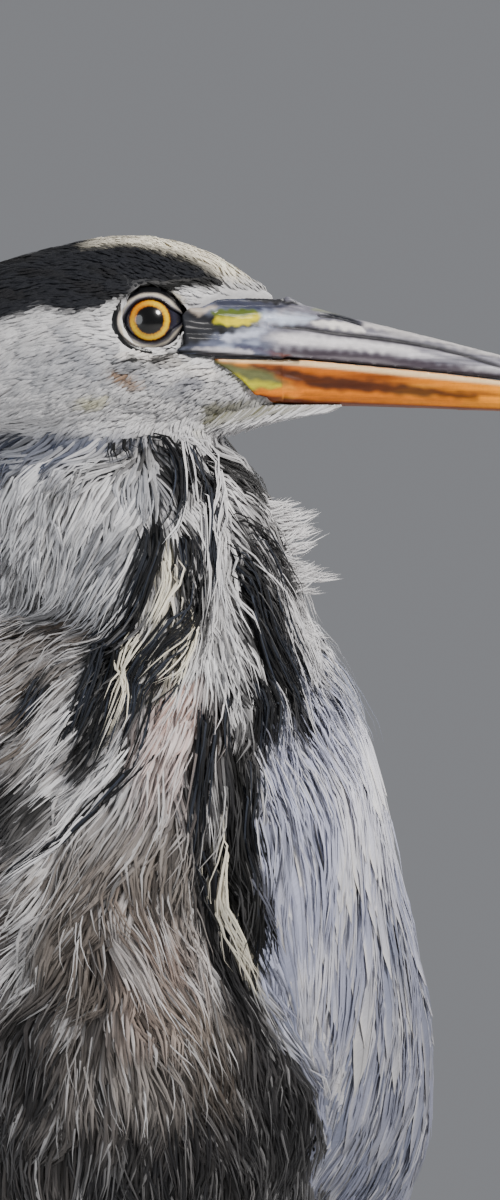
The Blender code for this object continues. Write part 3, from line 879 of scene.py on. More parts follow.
# Bill and the bare skin of the face
billMake = {
    "voxel": 0.5,
    "softening": 5,
    "swell": 0.3,
    "straight": (31.5, 41.5),  # the stretch where face and horn run together
    "grooves": {  # depth, line, half width, softness; a depth under zero is a fold that stands out
        "bill_upper": (
            (0.62, ((33, -1.2), (42, -1.9), (50, -3), (57.5, -3.8),
             (68, -5.1), (78, -6.9), (86, -9), (96, -12.4)),
             0.75, 0.6),
            (1.1, ((45.6, 2.2), (50, 2.0), (54, 1.0), (57.4, -0.4)), 0.75, 0.5),  # nostril
            (-0.35, ((45, 0.2), (51, -0.2), (57.5, -1.9)), 0.8, 0.6),
            (0.3, ((24, -6.9), (36, -8.6), (60, -10), (80, -13.2), (100, -16.4)), 0.8, 0.7),
            (-0.5, ((9, 3.6), (13.5, 2.2), (18, 3.9)), 1.0, 0.9),  # from here on, the bare skin
            (0.6, ((8.5, 0.6), (14, 0.1), (18, -0.6)), 1.3, 1.2),
            (-0.35, ((17.5, 1.6), (24, 1.4), (30, 2.2)), 1.6, 1.3),
            (0.5, ((18, 4.3), (27, 4.4), (35, 4.6)), 0.8, 0.7),
            (0.4, ((9, -3.2), (20, -3.6), (31, -2.6)), 0.7, 0.7),
            (-0.3, ((8, -5.4), (20, -6.0), (34, -5.2)), 1.6, 1.4),
        ),
        "bill_lower": (
            (0.35, ((31, -12.5), (42, -15.6), (58, -16.8), (86, -19.6), (104, -22)), 0.9, 0.8),
            (0.25, ((19, -12.4), (30, -14), (37, -17)), 0.8, 0.8),
        ),
    },
}


def upperBillColours(points, normals):
    u, w = fromEye(points)
    long = wobble(points * (0.12, 1, 1), 3.2, 21)
    fine = wobble(points * (0.06, 1, 1), 1.3, 22)
    su = u + wobble(points, 3.5, 25) * 0.7
    sw = w + wobble(points, 3.0, 26) * 0.45
    c = plain(colour(150, 148, 156), len(u))
    c = mixed(c, colour(206, 203, 208), fade(long + 0.5 * fine, 0.0, 1.1) * 0.85)
    c = mixed(c, colour(92, 92, 106), fade(-long + 0.4 * fine, 0.3, 1.2) * 0.8)
    c = mixed(c, colour(112, 112, 124), fade(normals[:, 2], 0.45, 0.85) * 0.7)  # the ridge
    # painted highlights: pale strokes standing for the gloss on the horn, in this block and the next
    c = painted(c, u, sw, (
        (colour(214, 210, 208), 0.8, ((58, -0.5), (76, -3.5), (98, -9.5)), 1.3, 1.1),
        (colour(224, 220, 216), 0.9, ((44, -0.3), (51, -0.7), (58, -2.4)), 0.9, 0.5),
    ))
    c = painted(c, su, sw, (
        (colour(222, 218, 220), 0.85, ((30, -4.2), (42, -5.0), (58, -6.4), (72, -8)), 1.5, 1.2),
    ))
    c = painted(c, u, sw, (
        (colour(78, 66, 76), 0.9, ((31, -8.2), (45, -9.1), (62, -10.4), (96, -15)), 1.8, 1.2),
        (colour(116, 62, 40), 0.85, ((23, -6.8), (30, -8.0), (38, -9.9)), 0.8, 0.5),
    ))
    main = ((33, -1.2), (42, -1.7), (50, -3), (57.5, -3.8), (68, -5.1), (78, -6.9), (86, -9), (96, -12.4))
    c = painted(c, u, w, (
        (colour(34, 32, 40), 0.95, main, 0.8, 0.5),
        (colour(34, 38, 50), 1, ((45.6, 2.2), (50, 2.0), (54, 1.0), (57.4, -0.4)), 0.6, 0.45),  # nostril
        (colour(150, 156, 120), 0.6, ((44, 3.6), (49, 3.4), (54, 2.4)), 0.6, 0.5),
    ))
    # bare skin between the eye and the horn
    base = 1 - fade(su, 29, 37)
    c = mixed(c, colour(96, 104, 126), base * 0.85)
    c = mixed(c, colour(176, 182, 200), 0.7 * base * fade(wobble(points * (0.4, 1, 1), 4, 27), 0.2, 1.0))
    lores = ((5, 4.6), (14, 2.4), (20, 2.6), (21, -2), (17, -4.6), (12, -7), (7, -8.6))
    c = mixed(c, colour(22, 22, 27), 0.95 * area(su, sw, lores, 1.5))
    c = painted(c, su, sw, (
        (colour(186, 176, 164), 0.85, ((9, 3.9), (13.5, 2.5), (18, 4.2)), 0.9, 0.6),
        (colour(56, 60, 80), 0.85, ((17, 5.4), (26, 5.2), (37, 4.8)), 1.5, 0.9),
        (colour(16, 16, 20), 0.9, ((26, 6.6), (30, 6.4), (36, 5.7), (40, 5.0)), 0.8, 0.5),
        (colour(20, 22, 16), 0.9, ((16.6, 0.6), (20, -2.2), (25, -2.4), (29.5, -0.6)), 1.1, 0.5),
    ))
    patch = ((17, 2.6), (20, 3.3), (27, 3.5), (31, 2.4), (29, 0.2), (24, -1.6), (18.5, -1.2))
    c = mixed(c, colour(98, 112, 32), area(su, sw, patch, 0.6))
    c = painted(c, su, sw, (
        (colour(222, 208, 30), 0.92, ((17.8, 0.6), (21.5, -0.3), (26, 0.2), (30, 1.6)), 1.15, 0.7),
        # painted highlights: this pale blue stroke and the next
        (colour(196, 206, 222), 0.75, ((30, 1.6), (36, 0.8), (44, 0.9)), 1.3, 1.0),
        (colour(204, 208, 222), 0.7, ((20, -4.8), (25, -3.6), (31, -2.4)), 1.3, 0.9),
        (colour(200, 196, 198), 0.8, ((12, -7.6), (20, -8.1), (28, -8.7)), 0.6, 0.4),
    ))
    # the line where the bill shuts
    gape = ((-10, -11.2), (-0.2, -10.9), (5, -9.8), (10, -8.3), (16.3, -8.9), (26.7, -9.6), (40, -10.5))
    c = mixed(c, colour(16, 14, 16), 0.95 * seam(u, w, gape, 0.35, 1.0) * (1 - fade(u, 30, 44)))
    closing = ((13, -9.5), (50, -11), (73, -13.1), (94.6, -15.2), (140, -23))
    c = mixed(c, colour(44, 32, 34), 0.85 * seam(u, w, closing, 0.3, 1.0))
    return mixed(c, colour(96, 84, 66), 0.7 * fade(u, 112, 144))


def lowerBillColours(points, normals):
    u, w = fromEye(points)
    long = wobble(points * (0.1, 1, 1), 3.0, 23)
    su = u + wobble(points, 3.5, 28) * 0.7
    sw = w + wobble(points, 3.0, 29) * 0.4
    c = mixed(plain(colour(192, 118, 30), len(u)), colour(240, 166, 12), fade(u, 55, 100) * 0.85)
    c = mixed(c, colour(140, 80, 30), fade(long, 0.1, 1.1) * 0.75)
    c = mixed(c, colour(244, 186, 84), fade(-long, 0.3, 1.2) * 0.55)
    dark = ((28, -12.2), (36, -14.2), (46, -16.4), (56, -17.3), (70.4, -18.8), (88, -20.6))
    c = painted(c, su, sw, (
        (colour(236, 150, 14), 0.8, ((29, -18.8), (40, -19.6), (60, -20.6), (84, -22)), 1.4, 0.9),
        (colour(76, 40, 24), 0.9, dark, 1.7, 1.0),
    ))
    top = ((19, -10.6), (36, -10.9), (50, -12), (73, -14.3), (94.6, -16.5), (120, -20))
    c = painted(c, u, w, [(colour(240, 216, 176), 0.9, top, 0.8, 0.5)])
    edge = ((30, -21), (45, -22.4), (70, -23.4), (100, -24.6), (140, -26.5))
    c = mixed(c, colour(110, 46, 20), 0.85 * seam(u, w, edge, 0.4, 1.3))
    green = ((14, -10), (24, -12), (32, -13.6), (37, -17), (33, -18.4), (26, -19), (12, -24))
    c = mixed(c, colour(108, 118, 84), 0.95 * area(su, sw, green, 1.0))
    c = painted(c, su, sw, [(colour(206, 200, 60), 0.85, ((22, -14.6), (27, -17.4), (36, -17.6)), 1.0, 0.8)])
    gape = ((-10, -11.2), (5, -9.9), (10, -8.4), (16.3, -9.1), (26.7, -9.9), (40, -10.7))
    return mixed(c, colour(24, 18, 18), 0.9 * seam(u, w, gape, 0.3, 0.9))


def bridged(mesh, points, normals, low, high):  # its faces drawn straight between two places along the bill
    tree = treeOf(mesh)
    u = fromEye(points)[0]
    moved = points.copy()
    for axis, least in ((1, 0.3), (2, 0.6)):
        for i in np.nonzero((u > low) & (u < high) & (np.abs(normals[:, axis]) > least))[0]:
            away = np.zeros(3)
            away[axis] = 1.0 if normals[i, axis] > 0 else -1.0
            spots = [np.array((at + eyePlace[0], *points[i, 1:])) + away * 40 for at in (low, high)]
            hits = [tree.ray_cast(Vector(toWorld(spot)), Vector(-away))[0] for spot in spots]
            if None not in hits:
                first, last = (toBird(hit)[axis] for hit in hits)
                straight = first + (last - first) * (u[i] - low) / (high - low)
                firm = float(fade(np.array(abs(normals[i, axis])), least, least + 0.3))
                moved[i, axis] += (straight - points[i, axis]) * firm
    shifts = [averaged(moved[:, axis] - points[:, axis], edgesOf(mesh), 4) for axis in range(3)]
    return points + np.stack(shifts, 1)


# the horn, with the bare part of the face that it grows from
def billPiece(node, name, paint, material):
    upper = node == "bill_upper"
    closing = (0.03, 0, 1) if not upper else (-0.03, 0, -1)
    cuts = [(eyePlace + (3 if upper else 15, 0, 0), (-1, 0, 0))]
    cuts.append((eyePlace + (13, 0, -9.9 if upper else -9.4), closing))
    if not upper:
        cuts.append((eyePlace + (0, 0, -22.5), (0, 0, -1)))
    solid = nodeCopy(["head", node], billMake["swell"], cuts)
    blank = remeshed(name, solid, billMake["voxel"], billMake["softening"])
    mesh = blank.data
    points, normals = meshPoints(mesh), meshNormals(mesh)
    u, w = fromEye(points)
    points = bridged(mesh, points, normals, *billMake["straight"])
    deep = np.zeros(len(u))
    for depth, line, half, soft in billMake["grooves"][node]:
        deep += depth * stroke(u, w, line, half, soft)
    deep *= fade(np.abs(normals[:, 1]), 0.25, 0.6)
    deep += 0.05 * wobble(points * (0.1, 1, 1), 1.6, 24)
    deep += 0.2 + 0.5 * (1 - fade(u, 22, 44))
    reach = (34, 38) if upper else (29, 33)
    hidden = (1 - area(u, w, bareFace, 1.1)) * (1 - fade(u, *reach))  # the rest goes in under the feathers
    hidden = np.maximum(hidden, 1 - fade(u, 4.5, 8) if upper else 1 - fade(u, 16, 18.5))
    addColours(mesh, paint(points, normals))
    points = points - normals * (deep + 1.6 * hidden)[:, None]
    points[:, 1] += (headSide - points[:, 1]) * 0.45 * hidden
    points[:, 2] += (eyePlace[2] - 8 - points[:, 2]) * 0.4 * hidden
    setPoints(mesh, points)
    standIn(blank, material, [node])


def hornMaterial(name, roughness, coat):  # long fine growth lines
    material, tree, main = shader(name, roughness, coat=coat)
    place = objectPlace(tree)
    drawn = added(tree, "VectorMath", {0: place, 1: (60.0, 900.0, 900.0)}, operation="MULTIPLY").outputs[0]
    lines = noise(tree, drawn, 1.0, 5.0, 0.65)
    flecks = noise(tree, place, 900.0, 4.0)
    both = times(tree, spanned(tree, lines, 0.6, 1.4), spanned(tree, flecks, 0.85, 1.15))
    surfaced(tree, main, both, lines, 0.5, 0.0002)
    # the bare skin behind the horn is duller
    near, far = (float(toWorld(eyePlace + (u, 0, 0))[0]) for u in (26, 44))
    ends = {"Value": added(tree, "SeparateXYZ", {0: place}).outputs["X"], "From Min": near, "From Max": far}
    dull = added(tree, "MapRange", ends | {"To Min": 0.26, "To Max": 0.0}).outputs[0]
    rough = spanned(tree, lines, roughness - 0.08, roughness + 0.14)
    dulled = added(tree, "Math", {0: rough, 1: dull}, operation="ADD").outputs[0]
    tree.links.new(dulled, main.inputs["Roughness"])
    return material


print("bill")
upperHorn = hornMaterial("bill horn", 0.4, 0.06)
lowerHorn = hornMaterial("orange bill horn", 0.38, 0.08)
billPiece("bill_upper", "upper_bill", upperBillColours, upperHorn)
billPiece("bill_lower", "lower_bill", lowerBillColours, lowerHorn)


# The lie of the coat. Each guide is (u, w, degrees), counted from straight down towards the bill's side.
neckGuides = (
    (-34, -36, -60), (-22, -36, -50), (-13, -36, -40), (-34, -46, -15), (-25, -49, -5), (-16, -46, 3),
    (-34, -58, -5), (-25, -61, 10), (-6, -65, -20), (-18, -80, -60), (-36, -72, -20), (-30, -90, -38),
    (6, -39, 5), (4, -55, -10), (0, -67, -25), (-6, -79, -35), (-13, -89, -40),
    (-16, -104, -30), (-30, -112, -40),
    (16, -45, 10), (18, -57, 0), (17, -69, -12), (14, -78, -25), (6, -89, -35), (-3, -101, -35),
    (23, -42, 55), (30, -48, 40), (34, -56, 30), (30, -64, 38), (31, -70, 35), (37, -83, 28), (34, -89, 25),
    (40, -101, 20), (45, -89, 12), (48, -107, 0), (24, -60, 22), (24, -70, 24),
    (18, -79, 0), (21, -79, 20), (25, -89, 10), (14, -86, -20), (19, -95, 0), (9, -98, -35), (3, -107, -40),
    (21, -107, 0), (15, -110, -12),
    (-24, -133, -45), (-32, -157, -40), (-28, -182, -35), (-32, -199, -20), (-24, -207, -10), (-16, -182, -8),
    (-12, -215, 0), (-3, -166, 30), (5, -178, 32), (13, -195, 28), (1, -199, 22),
    (21, -199, 20), (26, -215, 18),
    (9, -220, 12), (34, -224, 8), (38, -199, 28), (6, -137, -15), (-3, -137, -35), (13, -128, -12),
    (21, -124, 0), (26, -149, 5), (28, -166, 18), (31, -124, 5), (40, -142, 3), (37, -160, 0), (49, -151, -5),
    (54, -124, 12), (58, -115, 15), (62, -133, -5), (67, -160, 10), (72, -178, 5), (57, -178, -8),
    (51, -205, -12), (67, -205, -10), (73, -205, -5), (54, -231, -15),
    (-30, -260, -8), (0, -260, 0), (40, -260, -5),
)
headGuides = (
    (30, 8, -110), (24, 14, -115), (10, 22, -100), (-10, 24, -88), (-35, 15, -75), (-45, 5, -62), (0, 9, -95),
    (-15, 3, -80), (-30, 0, -70), (15, 0, -95), (0, -12, -80), (10, -14, -72), (20, -17, -66), (25, -25, -58),
    (10, -28, -52), (-10, -20, -62), (-25, -15, -66), (-35, -25, -55), (-58, 10, -60), (-60, -10, -35),
    (-12, 12, -84), (12, 12, -102),
)


def guided(u, w, guides):  # the way at each place, drawn from the guides near it
    total = np.zeros((len(u), 2))
    for gu, gw, turn in guides:
        share = 1 / (((u - gu) ** 2 + (w - gw) ** 2) / 25 + 1) ** 2
        total += share[:, None] * (math.sin(math.radians(turn)), -math.cos(math.radians(turn)))
    return unit(total)


def lieOfCoat(points, normals):
    u, w = fromEye(points)
    head = guided(u, w, headGuides)
    neck = guided(u, w, neckGuides)
    aside = points[:, 1] - headSide
    onHead = fade(w + 30 - 8 * fade(u, 10, 30), -5, 5)
    parting = -0.25 * np.sign(aside) * fade(np.abs(aside), 2, 8) * fade(w, 8, 16)
    way = np.stack([head[:, 0], parting, head[:, 1]], 1)
    front = np.stack([neck[:, 0], 0.15 - 0.3 * np.minimum(normals[:, 1], 0), neck[:, 1]], 1)
    rear = np.stack([-0.15 * normals[:, 0], np.full(len(u), 0.25), np.full(len(u), -1.0)], 1)
    trunk = np.stack([-0.1 * normals[:, 0], np.full(len(u), rearward[1]), np.full(len(u), rearward[2])], 1)
    ahead = fade(-normals[:, 1], -0.15, 0.35) * fade(points[:, 2], 300, 340)
    back = rear + (trunk - rear) * (1 - fade(points[:, 2], 430, 520))[:, None]
    below = back + (front - back) * ahead[:, None]
    way = below + (way - below) * onHead[:, None]
    way += 0.16 * np.stack([wobble(points, 17, seed) for seed in (31, 32, 33)], 1)
    return unit(way - normals * np.sum(way * normals, 1, keepdims=True))


print("lie of the coat")
skinWays = lieOfCoat(skinPoints, skinNormals)
faceWays = unit(skinWays[skinFaces].mean(1))
faceCorners = skinPoints[skinFaces]
faceMiddles = faceCorners.mean(1)
faceCrosses = np.cross(faceCorners[:, 2] - faceCorners[:, 0], faceCorners[:, 3] - faceCorners[:, 1])
faceAreas = 0.5 * np.linalg.norm(faceCrosses, axis=1)


def rootsOn(share, density, seed):  # places spread evenly over the skin's faces, as many as their share
    rng = np.random.default_rng(seed)
    expected = faceAreas * density * share
    count = np.floor(expected + rng.random(len(expected))).astype(int)
    faces = np.repeat(np.arange(len(expected)), count)
    a, b = rng.random(len(faces)), rng.random(len(faces))
    corners = faceCorners[faces]
    low = corners[:, 0] + (corners[:, 1] - corners[:, 0]) * a[:, None]
    high = corners[:, 3] + (corners[:, 2] - corners[:, 3]) * a[:, None]
    return low + (high - low) * b[:, None], faces


def waysAt(faces, turn):  # the lie at these faces, turned in the skin by some radians
    n, f = faceNormals[faces], faceWays[faces]
    f = unit(f - n * np.sum(f * n, 1, keepdims=True))
    s = np.cross(f, n)
    return f * np.cos(turn)[:, None] + s * np.sin(turn)[:, None], n


# width and length of each feather's own place on the unwrap
patchSize = (0.0012, 0.0026)


def wrapPlace(points, piece):  # a place for each root on an unwrap of the skin round the piece's own axis
    if piece == "head":
        away = points - (-5, headSide, 590)
        away = unit(away)
        turn = np.arctan2(away[:, 2], away[:, 1])
        return np.stack([turn / 6.4 + 0.5, np.arccos(away[:, 0]) / 3.2 + 0.01], 1)
    turn = np.arctan2(points[:, 0], -(points[:, 1] - (20 if piece == "neck" else 60)))
    low, high = {"neck": (330, 590), "body": (120, 560)}[piece]
    return np.stack([turn / 6.4 + 0.5, np.clip((points[:, 2] - low) / (high - low), 0, 1) * 0.97 + 0.015], 1)


def framed(lines, ups):  # the ways across and up at every place of the lines
    ways = unit(np.gradient(lines, axis=1))
    sides = unit(np.cross(ways, ups))
    return sides, np.cross(sides, ways)


def drapedLines(roots, faces, length, steps, heights, turn, curl, free):  # centre lines lying along the skin
    spot = roots
    lines, ups = [], []
    loose = np.zeros((len(roots), 1), bool)  # those that run on past an end of the skin
    for k in range(steps + 1):
        way, normal = waysAt(faces, turn + curl * k / steps)
        if k:
            way, normal = np.where(loose, lastWay, way), np.where(loose, lastNormal, normal)
        lines.append(spot + normal * heights[k][:, None])
        ups.append(normal)
        lastWay, lastNormal = way, normal
        if k < steps:
            stepped = spot + way * (length / steps)[:, None]
            spot, faces = nearest(skinTree, stepped)
            if free:
                strayed = np.linalg.norm(spot - stepped, axis=1, keepdims=True)
                loose |= strayed > 0.28 * (length / steps)[:, None]
                spot = np.where(loose, stepped, spot)
    lines = np.stack(lines, 1)
    return lines, *framed(lines, np.stack(ups, 1))


def feathers(parts, quads, tris, count):  # numbers for many feathers alike, from those at each point of one
    each = len(parts["points"])
    first = (np.arange(count) * each)[:, None, None]
    made = {key: np.stack(rows, 1).reshape(-1, rows[0].shape[1]) for key, rows in parts.items()}
    made["quads"] = (first + np.array(quads, int).reshape(1, -1, 4)).reshape(-1, 4)
    made["tris"] = (first + np.array(tris, int).reshape(1, -1, 3)).reshape(-1, 3)
    return made


def spikes(lines, sides, ups, width, thick, tints, patches, rng):  # closed three-sided tufts along the lines
    count, steps = lines.shape[0], lines.shape[1] - 1
    spans = np.linspace(0, 1, steps + 1)
    profile = np.interp(spans, (0, 0.3, 0.7, 1), (0.6, 1.0, 0.72, 0))
    each = 3 * steps + 1
    shading = np.linspace(0.8, 1.06, each)  # darker at the root
    parts = {"points": [], "uvs": [], "barbs": [], "tints": [tints * shade for shade in shading], "ups": []}
    own = rng.random((count, 1)) * 40
    for k in range(steps + 1):
        half = (0.5 * width * profile[k])[:, None]
        rise = (thick * profile[k])[:, None]
        for across, up in ((-1, 0), (0, 1), (1, 0)) if k < steps else ((0, 0),):
            parts["points"].append(lines[:, k] + sides[:, k] * half * across + ups[:, k] * rise * up)
            parts["uvs"].append(patches + (across * patchSize[0], -spans[k] * patchSize[1]))
            parts["barbs"].append(np.concatenate([own + across * 0.5, own * 0.37 + spans[k]], 1))
            parts["ups"].append(ups[:, k])
    quads = []
    for k in range(0, each - 4, 3):
        quads += [(k, k + 1, k + 4, k + 3), (k + 1, k + 2, k + 5, k + 4), (k + 2, k, k + 3, k + 5)]
    last, tip = each - 4, each - 1
    tris = [(last, last + 1, tip), (last + 1, last + 2, tip), (last + 2, last, tip), (0, 2, 1)]
    return feathers(parts, quads, tris, count)


def coatPiece(name, layers, material):
    offsets = np.cumsum([0] + [len(layer["points"]) for layer in layers[:-1]])
    keys = ("points", "tints", "uvs", "barbs", "ups")
    made = {key: np.concatenate([layer[key] for layer in layers]) for key in keys}
    faces = [
        np.concatenate([layer[key] + offset for layer, offset in zip(layers, offsets)])
        for key in ("quads", "tris")
    ]
    piece = pieceFromArrays(
        name, made["points"], faces, material, made["tints"], made["uvs"], made["barbs"], made["ups"]
    )
    print(name, "triangles", 2 * len(faces[0]) + len(faces[1]))
    return piece


def nearestLock(roots, lockRoots):
    tree = KDTree(len(lockRoots))
    for i, p in enumerate(lockRoots.tolist()):
        tree.insert(p, i)
    tree.balance()
    return np.array([tree.find(p)[1] for p in roots.tolist()])


def tuftLayer(make, share, wrap, paint=plumage):  # one layer of tufts over the faces in the share
    rng = np.random.default_rng(make["seed"])
    roots, faces = rootsOn(share, make["density"], make["seed"])
    lockRoots, lockFaces = rootsOn(share, make["density"] / make["perLock"], make["seed"] + 1)
    steps, count = make["steps"], len(roots)
    lockTones = rng.normal(0, 1, len(lockRoots))

    def draped(spots, at, lift, stray):
        spans = np.linspace(0, 1, steps + 1)
        rise = np.interp(spans, (0, 0.45, 0.8, 1), (-0.5, 0.75, 1.0, 0.9))
        lengthAt = make["length"](spots) if callable(make["length"]) else make["length"]
        long = lengthAt * rng.uniform(0.78, 1.22, len(spots))
        swing = wobble(spots, make["lock"], make["seed"] + 2)
        turn = stray * (rng.normal(0, 0.8, len(spots)) + swing)
        heights = [np.full(len(spots), r) if r < 0 else r * lift for r in rise]
        return drapedLines(spots, at, long, steps, heights, turn, make["curl"] * swing, make["free"])

    # the strands of a lock run together towards its tip, and share its height and tone
    lockLift = make["lift"] * rng.uniform(0.55, 1.1, len(lockRoots))
    lockLines = draped(lockRoots, lockFaces, lockLift, make["stray"] * 1.3)[0]
    own = nearestLock(roots, lockRoots)
    lift = lockLift[own] * rng.uniform(0.65, 1.1, count)
    lines, sides, ups = draped(roots, faces, lift, make["stray"] * 0.7)
    pull = make["clump"] * np.linspace(0, 1, steps + 1) ** 1.4
    lines = lines + (lockLines[own] - lines) * pull[None, :, None]
    sides, ups = framed(lines, ups)
    width = make["width"] * rng.uniform(0.7, 1.3, count)
    # each strand takes the pattern's colour from near its tip, and some of its lock's
    seen = lines[:, steps] * 0.6 + roots * 0.4
    seen = seen + sides[:, 0] * rng.normal(0, make["mix"], (count, 1))
    seen = seen + rng.normal(0, make["mix"] * 0.5, (count, 3))
    tints = paint(seen, faceNormals[faces])
    lockSeen = lockLines[:, steps] * 0.6 + lockRoots * 0.4
    lockTints = paint(lockSeen, faceNormals[lockFaces])[own]
    tints = tints * (1 - make["dab"]) + lockTints * make["dab"]
    bright = 1 + make["tone"] * (0.75 * lockTones[own] + rng.normal(0, 0.45, count))
    tints = tints * np.clip(bright, 0.35, 1.6)[:, None]
    light = (rng.random(count) < make["pale"]) | (lockTones[own] > make["whiteLock"])
    gain = 0.45 * (0.3 + 0.7 * fade(tints.mean(1, keepdims=True), 0.01, 0.1))
    tints = np.where(light[:, None], tints * (1 - gain) + gain * shades["white"], tints)
    tints = np.where((rng.random(count) < make["dark"])[:, None], tints * 0.4 + 0.1 * shades["black"], tints)
    tints = np.clip(tints, 0.003, 0.9)
    return spikes(lines, sides, ups, width, width * make["thick"], tints, wrapPlace(roots, wrap), rng)


def faceShare(low, high, ahead):  # which faces belong to a layer: by height, and by facing
    z = faceMiddles[:, 2]
    facing = fade(-faceNormals[:, 1], -0.12, 0.12)
    return fade(z, low - 6, low + 6) * (1 - fade(z, high - 6, high + 6)) * (facing if ahead else 1 - facing)


print("coat")
softFeather = featherMaterial("body feather", 9.0)
faceLabels = skinLabels[skinFaces[:, 0]]
onWing = np.isin(faceLabels, [fleshNodes.index("wing_left"), fleshNodes.index("wing_right")])
onHead = faceLabels == 0
fu, fw = faceMiddles[:, 0] - eyePlace[0], faceMiddles[:, 2] - eyePlace[2]

nearEye = np.hypot(fu, fw)
# the feathers below the gape reach a little further along the bill
bare = np.where(fw < -9.5, area(fu - 2.8, fw - 2.2, bareFace, 0.5), area(fu, fw, bareFace, 0.5))
feathered = (1 - bare) * fade(nearEye, 7.8, 8.6)
frontal = fade(fu, 14, 22) * fade(-fw, 86, 96) * (1 - fade(-fw, 262, 290))
frontal = frontal * fade(-faceNormals[:, 1], -0.35, -0.1)
sheetPlace = frontal * sheetAt(fu, fw) * onWing
offWing = 1 - onWing * (1 - frontal * (1 - sheetAt(fu, fw)))

# What the layers of tufts share, unless their own dictionary says otherwise.
tuftMake = {
    "steps": 3,  # bends in a strand
    "stray": 0.12,  # radians off the lie of the coat
    "curl": 0.15,  # radians more at the tip
    "clump": 0.45,  # how far the tips of a lock meet
    "dab": 0.5,  # share of its lock's colour in a strand's
    "tone": 0.14,  # spread of brightness
    "pale": 0.0,  # share of strands that are whitened
    "whiteLock": 9,  # locks whose tone is past this are whitened
    "dark": 0.04,  # share of strands that are blackened
    "thick": 0.3,  # height of a strand, in widths
    "free": False,  # whether strands run on past an end of the skin
}
# Besides those: density and perLock, strands to a square millimetre and to a lock; lock, width of a wave of
# locks; mix, how far the colour may be taken from beside the strand; length, width and lift over the skin.
faceMake = {
    **tuftMake, "seed": 41, "density": 1.2, "perLock": 7, "width": 0.92, "lift": 0.9, "steps": 2,
    "stray": 0.14,
    "curl": 0.1, "lock": 9, "clump": 0.35, "mix": 0.2, "dab": 0.2, "tone": 0.06, "dark": 0.0, "thick": 0.14,
    "length": lambda places: 4.4 + 3.6 * fade(eyePlace[0] - places[:, 0], -6, 40),
}
coatPiece("face_coat", [tuftLayer(faceMake, onHead * feathered, "head")], softFeather)
neckMake = {
    **tuftMake, "seed": 42, "density": 1.05, "perLock": 14, "length": 18.0, "width": 1.0, "lift": 4.6,
    "stray": 0.15,
    "curl": 0.2, "lock": 12, "clump": 0.6, "mix": 0.5, "dab": 0.25, "tone": 0.22, "pale": 0.2,
    "whiteLock": 1.3, "dark": 0.16,
}
neckShare = faceShare(470, 562, True) * (1 - onHead * fade(faceMiddles[:, 2], 552, 562)) * (1 - onWing)
coatPiece("foreneck_coat", [tuftLayer(neckMake, neckShare, "neck")], softFeather)
breastMake = {
    **tuftMake, "seed": 43, "density": 0.78, "perLock": 18, "length": 28.0, "width": 1.05, "lift": 5.6,
    "stray": 0.15, "curl": 0.22, "lock": 18, "clump": 0.6, "mix": 0.6, "dab": 0.35, "tone": 0.26, "pale": 0.1,
    "whiteLock": 1.4, "dark": 0.22,
}
coatPiece("breast_coat", [tuftLayer(breastMake, faceShare(335, 470, True) * offWing, "body")], softFeather)
longMake = {
    **tuftMake, "seed": 47, "density": 0.11, "perLock": 6, "length": 34.0, "width": 0.8, "lift": 6.2,
    "steps": 5,
    "stray": 0.1, "curl": 0.16, "lock": 20, "clump": 0.4, "mix": 0.7, "dab": 0.3, "tone": 0.24, "pale": 0.1,
    "whiteLock": 1.5, "dark": 0.16,
}
longShare = faceShare(352, 545, True) * (1 - onHead) * offWing
coatPiece("long_breast_coat", [tuftLayer(longMake, longShare, "body")], softFeather)


def frontSpots(u, w):  # places on the front of the skin, and the way out of it there
    spots, outs = np.zeros((len(u), 3)), np.tile((0.0, -1.0, 0.0), (len(u), 1))
    for i, (a, b) in enumerate(zip(u, w)):
        start = toWorld((a + eyePlace[0], -230, b + eyePlace[2]))
        hit, _, face, _ = skinTree.ray_cast(Vector(start), Vector((0, 1, 0)))
        spots[i] = toBird(hit) if hit else (a + eyePlace[0], np.nan, b + eyePlace[2])
        if hit:
            outs[i] = faceNormals[face]
    return spots, outs


